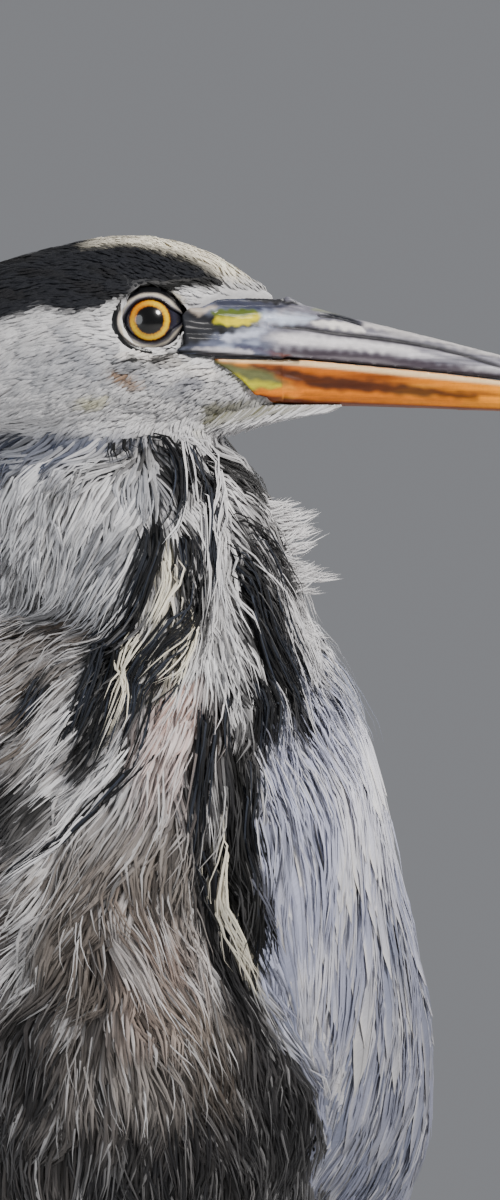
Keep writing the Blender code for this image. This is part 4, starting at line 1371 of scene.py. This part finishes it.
def markPlumes(marks, tone, make):  # long narrow feathers laid along the marks of the foreneck
    rng = np.random.default_rng(make["seed"])
    lines, tints = [], []
    for line, half in marks:
        path = resampled(np.array([(a, 0, b) for a, b in line], float), 40)
        for turn in range(10):
            path[1:-1] = (path[:-2] + path[1:-1] * 2 + path[2:]) / 4
        long = np.linalg.norm(np.diff(path, axis=0), axis=1).sum()
        for turn in range(max(2, int(make["cover"] * long * half * 2 / 22))):
            reach = min(rng.uniform(14, 30) / long, 1.0)
            begin = rng.uniform(-0.06, max(1.02 - reach, 0.0))
            spans = np.clip(begin + np.linspace(0, 1, 6) * reach, 0, 1) * 40
            spot = np.stack([np.interp(spans, np.arange(41), path[:, i]) for i in (0, 2)], 1)
            way = unit(np.gradient(spot, axis=0) + 1e-6)
            middle = (begin + reach / 2) * 2 - 1
            wide = half * (0.55 + 0.45 * math.sqrt(max(0.0, 1 - min(abs(middle), 1) ** 2)))
            offset = rng.uniform(-wide, wide) + np.linspace(rng.normal(0, 0.5), rng.normal(0, 0.9), 6)
            lines.append(spot + np.stack([-way[:, 1], way[:, 0]], 1) * offset[:, None])
            tints.append(tone * rng.uniform(0.75, 1.2) + shades["slate"] * (rng.random() ** 3) * 0.5)
    flat = np.array(lines)
    spots, outs = frontSpots(flat[:, :, 0].ravel(), flat[:, :, 1].ravel())
    spots, outs = spots.reshape(-1, 6, 3), outs.reshape(-1, 6, 3)
    for turn in range(3):  # hanging clear of the hollows between the locks
        spots[:, 1:-1, 1] = np.minimum(spots[:, 1:-1, 1], (spots[:, :-2, 1] + spots[:, 2:, 1]) / 2)
    steep = np.abs(np.diff(spots[:, :, 1], axis=1)).max(1)
    good = np.isfinite(spots).all((1, 2)) & (steep < make["steepest"])
    spots, outs, tints = spots[good], outs[good], np.array(tints)[good]
    rise = np.interp(np.linspace(0, 1, 6), (0, 0.2, 1), (0.1, 0.9, 1))
    high = make["lift"] * rng.uniform(0.75, 1.1, (len(spots), 1)) * rise
    lines = spots + outs * high[:, :, None]
    width = rng.uniform(0.35, 0.85, len(lines))
    return spikes(lines, *framed(lines, outs), width, width * 0.3, tints, wrapPlace(spots[:, 0], "body"), rng)


# How thickly the marks are covered, the lift over the skin, and the steepest step that is kept.
streakMakes = (
    (blackMarks, "black", {"seed": 48, "cover": 3.8, "lift": 5.4, "steepest": 8}),
    (creamMarks, "cream", {"seed": 49, "cover": 4.2, "lift": 6.4, "steepest": 5}),
    (whiteMarks, "white", {"seed": 50, "cover": 3.6, "lift": 6.0, "steepest": 5}),
)
streaks = [markPlumes(marks, shades[tone], make) for marks, tone, make in streakMakes]
coatPiece("foreneck_streaks", streaks, softFeather)
fineMake = {
    **tuftMake, "seed": 57, "density": 0.075, "perLock": 4, "length": 30.0, "width": 0.5, "lift": 7.0,
    "steps": 6,
    "stray": 0.14, "curl": 0.3, "lock": 14, "clump": 0.3, "mix": 0.5, "dab": 0.0, "tone": 0.1, "dark": 0.0,
}


def finePaint(points, normals):  # thin light feathers over the rest, fewer showing over the black marks
    c = plumage(points, normals)
    light = fade(wobble(points, 16, 58), -0.5, 0.5)
    return mixed(c, shades["white"], 0.05 + 0.75 * light * fade(c.mean(1), 0.02, 0.14))


fineLayer = tuftLayer(fineMake, longShare, "body", finePaint)
coatPiece("foreneck_fine_coat", [fineLayer], softFeather)
napeMake = {
    **tuftMake, "seed": 44, "density": 0.34, "perLock": 9, "length": 17.0, "width": 1.7, "lift": 4.0,
    "lock": 14,
    "mix": 0.8,
}
napeShare = faceShare(440, 562, False) * (1 - onHead * fade(faceMiddles[:, 2], 552, 562)) * (1 - onWing)
coatPiece("nape_coat", [tuftLayer(napeMake, napeShare, "neck")], softFeather)
bellyMake = {
    **tuftMake, "seed": 45, "density": 0.115, "perLock": 8, "length": 27.0, "width": 3.2, "lift": 4.6,
    "lock": 22,
    "mix": 1.2, "free": True,
}
onThigh = np.isin(faceLabels, [fleshNodes.index("thigh_left"), fleshNodes.index("thigh_right")])
thighMake = {
    **bellyMake, "seed": 46, "density": 0.3, "length": 15.0, "width": 1.9, "lift": 2.6, "perLock": 7,
}
behind = fade(faceNormals @ rearward, 0.5, 0.75)  # the blunt ends of the wings and rump
backShare = np.clip(faceShare(100, 440, False) + faceShare(100, 338, True), 0, 1)
backShare = (1 - onWing) * (1 - onThigh) * backShare
backShare = backShare * (1 - behind * fade(faceMiddles[:, 1], 100, 120))
bodyLayers = [tuftLayer(bellyMake, backShare, "body"), tuftLayer(thighMake, onThigh * 1.0, "body")]
coatPiece("body_coat", bodyLayers, softFeather)


# Vaned feathers: wings, tail and long plumes. A profile gives the width along a feather, as shares.
leafProfile = ((0, 0.16), (0.12, 0.6), (0.4, 1.0), (0.72, 0.95), (0.9, 0.62), (1, 0.1))
ribbonProfile = ((0, 0.5), (0.2, 0.9), (0.5, 1.0), (0.8, 0.7), (1, 0.08))


def spacedRoots(share, spacing, seed):  # roots at about even distances
    roots, faces = rootsOn(share, 4.0 / spacing**2, seed)
    order = np.random.default_rng(seed).permutation(len(roots))
    roots, faces = roots[order], faces[order]
    untaken = np.ones(len(roots), bool)
    kept = []
    for i in range(len(roots)):
        if untaken[i]:
            kept.append(i)
            untaken &= np.sum((roots - roots[i]) ** 2, 1) > spacing**2
    return roots[kept], faces[kept]


def vanes(lines, sides, ups, width, tints, edgeTints, patches, rng, camber, profile=leafProfile):
    count, steps = lines.shape[0], lines.shape[1] - 1
    spans = np.linspace(0, 1, steps + 1)
    shape = np.interp(spans, *zip(*profile))
    own = rng.random((count, 1)) * 30
    length = np.linalg.norm(np.diff(lines, axis=1), axis=2).sum(1, keepdims=True)
    tones = (edgeTints, tints, tints * 0.88)
    # six points round the vane: across, up in half widths, up in millimetres, tone
    cross = (
        (-1, -camber, 0, 0), (-0.5, -camber * 0.3, 0, 1), (0, 0.06, 0.22, 2), (0.5, -camber * 0.3, 0, 1),
        (1, -camber, 0, 0), (0, -0.14, -0.2, 2),
    )
    parts = {"points": [], "uvs": [], "barbs": [], "tints": [], "ups": []}
    for k in range(steps + 1):
        frayed = 1 - 0.28 * rng.random((count, 2)) * fade(np.array(spans[k]), 0.45, 1.0)
        half = 0.5 * width * shape[k]
        tipped = fade(np.array(spans[k]), 0.8, 1.0) * 0.6
        for across, up, more, inner in cross:
            edge = half * (frayed[:, 0] if across < 0 else frayed[:, 1])
            spot = lines[:, k] + sides[:, k] * (edge * across)[:, None]
            spot = spot + ups[:, k] * (up * half + more)[:, None]
            spot = spot - (lines[:, k] - lines[:, max(k - 1, 0)]) * abs(across) * 0.35
            parts["points"].append(spot)
            parts["uvs"].append(patches + (across * patchSize[0], -spans[k] * patchSize[1]))
            barb = [np.full((count, 1), across * 1.0), own + spans[k] * length / 10]
            parts["barbs"].append(np.concatenate(barb, 1))
            parts["tints"].append(np.clip(tones[inner] * (1 - tipped) + edgeTints * tipped, 0.003, 0.9))
            parts["ups"].append(ups[:, k])
    quads = []
    for a in range(0, 6 * steps, 6):
        quads += [(a + i, a + (i + 1) % 6, a + 6 + (i + 1) % 6, a + 6 + i) for i in range(6)]
    z = 6 * steps
    quads += [(3, 2, 1, 0), (5, 4, 3, 0), (z, z + 1, z + 2, z + 3), (z, z + 3, z + 4, z + 5)]
    return feathers(parts, quads, [], count)


def vaneMaterial(name):  # barbs slanting from the shaft, from each feather's own UV
    material, tree, main = shader(name, 0.6, 0.05)
    split = added(tree, "SeparateXYZ", {0: added(tree, "UVMap", uv_map="barbs").outputs[0]})
    across = added(tree, "Math", {0: split.outputs["X"]}, operation="ABSOLUTE").outputs[0]
    slant = {0: across, 1: -0.55, 2: split.outputs["Y"]}
    slant = added(tree, "Math", slant, operation="MULTIPLY_ADD").outputs[0]
    drawn = added(tree, "CombineXYZ", {0: times(tree, slant, 17.0), 1: split.outputs["X"]}).outputs[0]
    streak = noise(tree, drawn, 1.0, 4.0, 0.7)
    patchy = noise(tree, objectPlace(tree), 120.0, 3.0)
    shaft = {"Value": across, "From Min": 0.03, "From Max": 0.09, "To Min": 0.62}
    shaft = added(tree, "MapRange", shaft).outputs[0]
    both = times(tree, spanned(tree, streak, 0.7, 1.3), spanned(tree, patchy, 0.84, 1.16))
    surfaced(tree, main, times(tree, both, shaft), streak, 0.6, 0.0004)
    return material


def vaneLayer(make, share, wrap, paint):
    rng = np.random.default_rng(make["seed"])
    roots, faces = spacedRoots(share, make["spacing"], make["seed"])
    count, steps = len(roots), make["steps"]
    size = make["size"](roots)  # length and width for each place
    length = size[:, 0] * rng.uniform(0.88, 1.12, count)
    width = size[:, 1] * rng.uniform(0.9, 1.1, count)
    rise = np.interp(np.linspace(0, 1, steps + 1), (0, 0.5, 1), (-0.8, 0.5, 1.0))
    lift = make["lift"] * rng.uniform(0.75, 1.1, count)
    heights = [np.full(count, r) if r < 0 else r * lift for r in rise]
    swing = rng.normal(0, make["stray"], count)
    lines, sides, ups = drapedLines(roots, faces, length, steps, heights, swing, -0.5 * swing, make["free"])
    neat = unit(lines[:, steps] - lines[:, 0]) @ rearward > 0.66  # those that lie along the wing
    roots, faces, lines, sides, ups = roots[neat], faces[neat], lines[neat], sides[neat], ups[neat]
    tints, edges = paint(lines[:, steps // 2], faceNormals[faces])
    bright = np.clip(1 + rng.normal(0, make["tone"], len(roots)), 0.6, 1.4)[:, None]
    patches = wrapPlace(roots, wrap)
    return vanes(lines, sides, ups, width[neat], tints * bright, edges * bright, patches, rng, make["camber"])


def wingPaint(points, normals):  # the vane's colour and its edges'
    x, y, z = points.T
    c = plain(shades["mantle"], len(x))
    c = mixed(c, shades["slate"], 0.45 * fade(wobble(points, 55, 61), -0.3, 0.9))
    front = fade(-y, 0, 45) * fade(z, 300, 350)
    outer = fade(np.abs(x + 20), 36, 58)
    c = mixed(c, shades["lavender"], front * 0.85 * outer)
    c = mixed(c, shades["greyBrown"], 0.9 * front * (1 - fade(-x, 38, 62)) * (x < 0))
    low = fade(-z, -300, -230) * fade(y, 40, 110)
    c = mixed(c, shades["charcoal"], low * 0.75)
    shoulder = fade(-y, 42, 55) * fade(z, 462, 474) * (1 - fade(z, 492, 506)) * fade(-x, 40, 52)
    c = mixed(c, shades["black"], shoulder)
    return c, mixed(c, shades["white"], (0.3 + 0.35 * front * outer) * fade(c.mean(1), 0.01, 0.1))


print("wings")
vaneFeather = vaneMaterial("vaned feather")


def covertSize(points):
    down = np.clip((500 - points[:, 2]) / 240, 0, 1)
    back = fade(points[:, 1], 20, 110)
    long = 22 + 26 * down + 40 * back * down
    return np.stack([long, 11.5 + 4.5 * down], 1)


covertMake = {
    "seed": 51, "spacing": 7.3, "size": covertSize, "lift": 2.7, "steps": 6, "stray": 0.06, "tone": 0.07,
    "camber": 0.12, "free": True,
}
for side in (1, -1):
    wing = "wing_" + sideNames[side]
    share = (faceLabels == fleshNodes.index(wing)) * (1 - (side == 1) * frontal)
    outside = fade(faceNormals[:, 0] * side, -0.55, -0.25)
    layer = vaneLayer(covertMake, share * outside * (1 - behind), "body", wingPaint)
    coatPiece(wing + "_coverts", [layer], vaneFeather)


def sheetPaint(points, normals):
    u, w = fromEye(points)
    c = plain(shades["lavender"], len(points))
    c = mixed(c, colour(150, 156, 178), 0.8 * fade(wobble(points * (1, 1, 0.3), 22, 62), -0.2, 0.9))
    c = mixed(c, shades["white"], 0.8 * fade(-wobble(points * (1, 1, 0.3), 20, 63), 0.1, 1.0))
    # painted light: the top of the plumes is made paler
    c = mixed(c, colour(238, 238, 246), 0.85 * (1 - fade(-w, 114, 156)))
    # painted shade: darker towards the bottom and the outer edge, and the pale edges fade there too
    outer = fade(u, 48, 60) * fade(-w, 118, 185)
    c = c * (1 - 0.24 * fade(-w, 125, 200) - 0.2 * outer)[:, None]
    return c, mixed(c, colour(236, 232, 224), 0.75 - 0.3 * fade(-w, 140, 210) - 0.2 * outer)


def sheetSize(points):
    down = np.clip((490 - points[:, 2]) / 160, 0, 1)
    return np.stack([46 + 44 * down, 9.0 + 4.0 * down], 1)


sheetMake = {
    **covertMake, "seed": 52, "spacing": 5.0, "size": sheetSize, "lift": 3.8, "steps": 8, "stray": 0.07,
    "camber": 0.09, "free": False,
}
sheetFine = {
    **tuftMake, "seed": 53, "density": 0.13, "perLock": 14, "length": 42.0, "width": 1.0, "lift": 4.3,
    "steps": 4,
    "stray": 0.06, "curl": 0.05, "lock": 22, "clump": 0.35, "mix": 0.8,
    "dab": 0.6, "tone": 0.07, "pale": 0.15,
    "whiteLock": 1.3, "dark": 0.0,
}
sheetLayer = vaneLayer(sheetMake, sheetPlace, "body", sheetPaint)
coatPiece("breast_plumes", [sheetLayer], vaneFeather)
sheetFineLayer = tuftLayer(sheetFine, sheetPlace, "body", lambda places, ways: sheetPaint(places, ways)[0])
coatPiece("breast_plume_barbs", [sheetFineLayer], softFeather)


# Loose feathers: the wisps at the side of the neck and the beard under the bill
def looseTufts(name, starts, ends, bend, width, tints, seed, wrap):
    rng = np.random.default_rng(seed)
    spans = np.linspace(0, 1, 5)[None, :, None]
    lines = starts[:, None] + (ends - starts)[:, None] * spans + bend[:, None] * (spans * (1 - spans) * 4)
    sides, ups = framed(lines, np.broadcast_to((0.0, -1.0, 0.0), lines.shape))
    layer = spikes(lines, sides, ups, width, width * 0.35, tints, wrapPlace(starts, wrap), rng)
    coatPiece(name, [layer], softFeather)


wispMake = {
    "each": 30,  # strands in a lock
    "locks": 15,
    "reach": (12, 21),  # length of a lock
    "top": 46.0,  # below the eye
    "drop": 31.0,  # from the top lock to the lowest
    "droop": (-4, -16, -62),  # degrees from level, at the top, further down and at the foot
}
beardMake = {
    "count": 1500,
    "front": 52.0,  # along the bill from the eye, where the beard begins
    "run": 34.0,
    "below": 22.6,  # the jaw's edge under the eye
}


def wisps():
    rng = np.random.default_rng(91)
    each, locks = wispMake["each"], wispMake["locks"]
    order = np.repeat(np.arange(locks), each)
    along = ((np.arange(locks) + rng.uniform(0.15, 0.85, locks)) / locks)[order]
    reach = rng.uniform(*wispMake["reach"], locks)[order]
    turn = np.radians(np.interp(along, (0, 0.4, 1), wispMake["droop"]) + rng.normal(0, 8, locks)[order])
    count = len(along)
    z = eyePlace[2] - wispMake["top"] - wispMake["drop"] * along + rng.normal(0, 2.0, count)
    far = np.stack([np.full(count, eyePlace[0] + 90), rng.uniform(-62, -44, count), z], 1)
    hits = [skinTree.ray_cast(Vector(toWorld(place)), Vector((-1, 0, 0))) for place in far]
    starts = np.array([toBird(hit) - faceNormals[face] * 0.5 for hit, _, face, _ in hits])
    spread = np.stack([np.cos(turn) * reach, rng.normal(0, 2, locks)[order], np.sin(turn) * reach], 1)
    tips = starts[order * each] + spread
    ends = starts + (tips - starts) * rng.uniform(0.5, 1.0, (count, 1)) + rng.normal(0, 0.5, (count, 3))
    bend = np.stack([np.zeros(count), np.full(count, -0.6), -reach * rng.uniform(0.1, 0.24, count)], 1)
    tints = shades["white"] * rng.uniform(0.85, 1.18, (count, 1))
    looseTufts("neck_wisps", starts, ends, bend, rng.uniform(0.35, 0.75, count), tints, 92, "neck")


def beard():
    rng = np.random.default_rng(93)
    count = beardMake["count"]
    along = rng.random(count) ** 0.9
    aside = rng.uniform(-1, 1, count) * (2.6 + 5.2 * along)
    front = beardMake["front"] - beardMake["run"] * along
    place = np.stack([front, aside, -beardMake["below"] - 0.2 * along], 1)
    starts = place + (eyePlace[0], headSide, eyePlace[2])
    longest = 2.6 + 9.6 * along**1.4
    drop = longest * rng.uniform(0.55, 1.0, count) * np.sqrt(np.clip(1 - (aside / 9) ** 2, 0.1, 1))
    ends = starts + np.stack([-rng.uniform(5, 9, count), aside * 0.05, -drop], 1)
    bend = np.stack([np.zeros(count), np.zeros(count), -drop * 0.12], 1)
    tints = mixed(plain(colour(124, 122, 92), count), shades["white"], fade(drop / longest, 0.4, 0.8))
    tints = tints * rng.uniform(0.8, 1.15, (count, 1))
    looseTufts("chin_beard", starts, ends, bend, rng.uniform(0.6, 1.0, count), tints, 94, "head")


print("loose feathers")
wisps()
beard()


# Long feathers built along the CAD nodes that they stand for
def nodeBands(node, way, count):  # middles and half widths in x of slices across a node
    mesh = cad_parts[node].data
    mesh.calc_loop_triangles()
    corners = toBird(np.array([v.co for v in mesh.vertices]))
    faces = np.array([t.vertices for t in mesh.loop_triangles])
    a, b, c = corners[faces[:, 0]], corners[faces[:, 1]], corners[faces[:, 2]]
    sizes = np.linalg.norm(np.cross(b - a, c - a), axis=1)
    rng = np.random.default_rng(7)
    samples = 12000
    pick = rng.choice(len(faces), samples, p=sizes / sizes.sum())
    s, t = rng.random((2, samples))
    s, t = np.where(s + t > 1, 1 - s, s)[:, None], np.where(s + t > 1, 1 - t, t)[:, None]
    spots = a[pick] + (b[pick] - a[pick]) * s + (c[pick] - a[pick]) * t
    along = spots @ unit(np.array(way, float))
    cuts = np.linspace(along.min() - 1e-6, along.max() + 1e-6, count + 1)
    middles, halves = [], []
    for low, high in zip(cuts[:-1], cuts[1:]):
        inside = spots[(along >= low) & (along <= high)]
        middles.append((inside.min(0) + inside.max(0)) / 2)
        halves.append(np.ptp(inside[:, 0]) / 2)
    return np.array(middles), np.array(halves)


def framedVanes(lines, up, make, tint, edge, wrap="body", profile=leafProfile):  # vanes that all face one way
    lines = np.array(lines)
    count = len(lines)
    sides, ups = framed(lines, np.broadcast_to(np.array(up, float), lines.shape))
    rng = np.random.default_rng(make["seed"])
    tints = plain(tint, count) * rng.uniform(0.85, 1.15, (count, 1))
    width = np.full(count, make["width"])
    patches = wrapPlace(lines[:, 0], wrap)
    return vanes(lines, sides, ups, width, tints, plain(edge, count), patches, rng, make["camber"], profile)


def fanPiece(name, node, make, up, tint, edge):  # long quills laid over each other across a node
    middles, halves = nodeBands(node, rearward, 12)
    count = make["count"]
    lines = []
    for k in range(count):
        f = k / (count - 1) * 2 - 1
        line = middles.copy()
        line[:, 0] += f * np.maximum(halves - make["inset"], 0) * np.linspace(make["close"], 1, len(line))
        rank = 1 - abs(f) if make["even"] else (1 - f * make["side"]) / 2
        line += np.array(up) * (make["stack"] * rank - 0.6)
        start = line[0] - (line[2] - line[0]) * make["reach"]
        line = resampled(np.concatenate([[start], line]), 48)
        line = line[: 49 - int(round((1 - rank) * make["step"] * 48))]
        lines.append(resampled(line, 12))
    piece = coatPiece(name, [framedVanes(lines, up, make, tint, edge)], vaneFeather)
    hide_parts(node)


print("tail, wing tips and crest")
tailMake = {
    "seed": 71,
    "count": 9,
    "width": 19.0,
    "camber": 0.05,
    "close": 0.5,  # how near the quills are at the root, as a share of their spread
    "inset": 8.0,
    "even": True,  # the middle quill on top, rather than the inner one
    "side": 1,
    "stack": 3.4,
    "reach": 1.4,  # how far the quills go in under the coverts
    "step": 0.1,  # how much shorter the last quill is
}
quillMake = {**tailMake, "seed": 72, "count": 7, "width": 16.0, "inset": 6.0, "even": False, "stack": 4.2}
quillMake |= {"reach": 1.6, "step": 0.3}
fanPiece("tail_feathers", "tail", tailMake, (0, 0.78, 0.62), shades["slate"], shades["ash"])
for side in (1, -1):
    make = {**quillMake, "side": side}
    tones = (shades["charcoal"] * 0.9, shades["slate"] * 0.8)
    name = "wing_primaries_" + sideNames[side]
    fanPiece(name, "wing_tip_" + sideNames[side], make, (side * 0.35, 0.74, 0.57), *tones)

crestMake = {"seed": 75, "width": 3.6, "camber": 0.2}
for side in (1, -1):
    node = "crest_plume_" + sideNames[side]
    middles = nodeBands(node, (0, 0, -1), 16)[0]
    start = middles[0] + (middles[0] - middles[1]) * 1.2 + (9.0, -side * 1.5, 2.0)
    main = resampled(np.concatenate([[start], middles]), 16)
    spans = np.linspace(0, 1, 17)[:, None]
    lines = [main, main + (1.6, side * 1.2, 0) * spans]
    lines.append(start + (main - start) * 0.72 + (-1.5, side * 1.0, 0) * spans)
    lines.append(start + (main - start) * 0.5 + (2.4, -side * 1.2, 0) * spans)
    facing = (-0.9, side * 0.35, 0.1)
    layer = framedVanes(lines, facing, crestMake, shades["black"], shades["cap"], "head", ribbonProfile)
    piece = coatPiece(node + "_feathers", [layer], vaneFeather)
    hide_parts(node)


# Legs, feet and claws
legMake = {"scute": 3.1, "toeScute": 2.7}  # height of a scale on the leg, length of one on a toe


def legPiece(side):
    nodes = [part + "_" + side for part in ("shank", "heel", "tarsus", "foot")]
    blank = remeshed("leg_" + side, nodeCopy(nodes, 0.3), 0.8, 3)
    mesh = blank.data
    points, normals = meshPoints(mesh), meshNormals(mesh)
    sole = toBird(boxMiddle("foot_" + side))
    x, y, z = points.T
    front = fade(-normals[:, 1], -0.2, 0.3) * fade(z, 14, 24)
    top = fade(normals[:, 2], 0.25, 0.6) * (1 - fade(z, 14, 22))
    # 1 in the groove between two scutes, on the leg and on the toes
    groove = np.abs((z / legMake["scute"]) % 1 - 0.5) * 2
    toeGroove = np.abs((np.hypot(x - sole[0], y - sole[1]) / legMake["toeScute"]) % 1 - 0.5) * 2
    deep = 0.32 * front * fade(groove, 0.72, 1.0) + 0.3 * top * fade(toeGroove, 0.72, 1.0)
    deep += 0.12 * wobble(points, 3.4, 81) + 0.12
    hidden = fade(z, z.max() - 7, z.max())[:, None]
    # the leg goes on up inside the thigh
    setPoints(mesh, points - normals * deep[:, None] + hidden * (0, 0, 14))
    c = plain(colour(126, 112, 78), len(x))
    c = mixed(c, colour(96, 92, 74), fade(wobble(points, 14, 82), -0.3, 0.8))
    c = mixed(c, colour(150, 130, 82), 0.6 * fade(z, 150, 190))
    grooves = np.maximum(front * fade(groove, 0.7, 1), top * fade(toeGroove, 0.7, 1))
    c = mixed(c, colour(64, 58, 46), 0.75 * grooves)
    addColours(mesh, c)
    standIn(blank, legScales, nodes)


def clawPiece(side):
    nodes = ["claw_" + side + "_" + toe for toe in ("hind", "inner", "middle", "outer")]
    blank = remeshed("claws_" + side, nodeCopy(nodes, 0.05), 0.4, 2)
    points = meshPoints(blank.data)
    c = plain(colour(46, 40, 36), len(points))
    c = mixed(c, colour(104, 92, 78), 0.7 * fade(wobble(points * (1, 1, 0.4), 5, 83), 0.0, 1.0))
    addColours(blank.data, c)
    standIn(blank, clawHorn, nodes)


print("legs")
legScales = skinMaterial("leg scales", 620.0, 0.5, 0.0005, coat=0.1, spread=0.22)
clawHorn = hornMaterial("claw horn", 0.35, 0.3)
for side in ("left", "right"):
    legPiece(side)
    clawPiece(side)
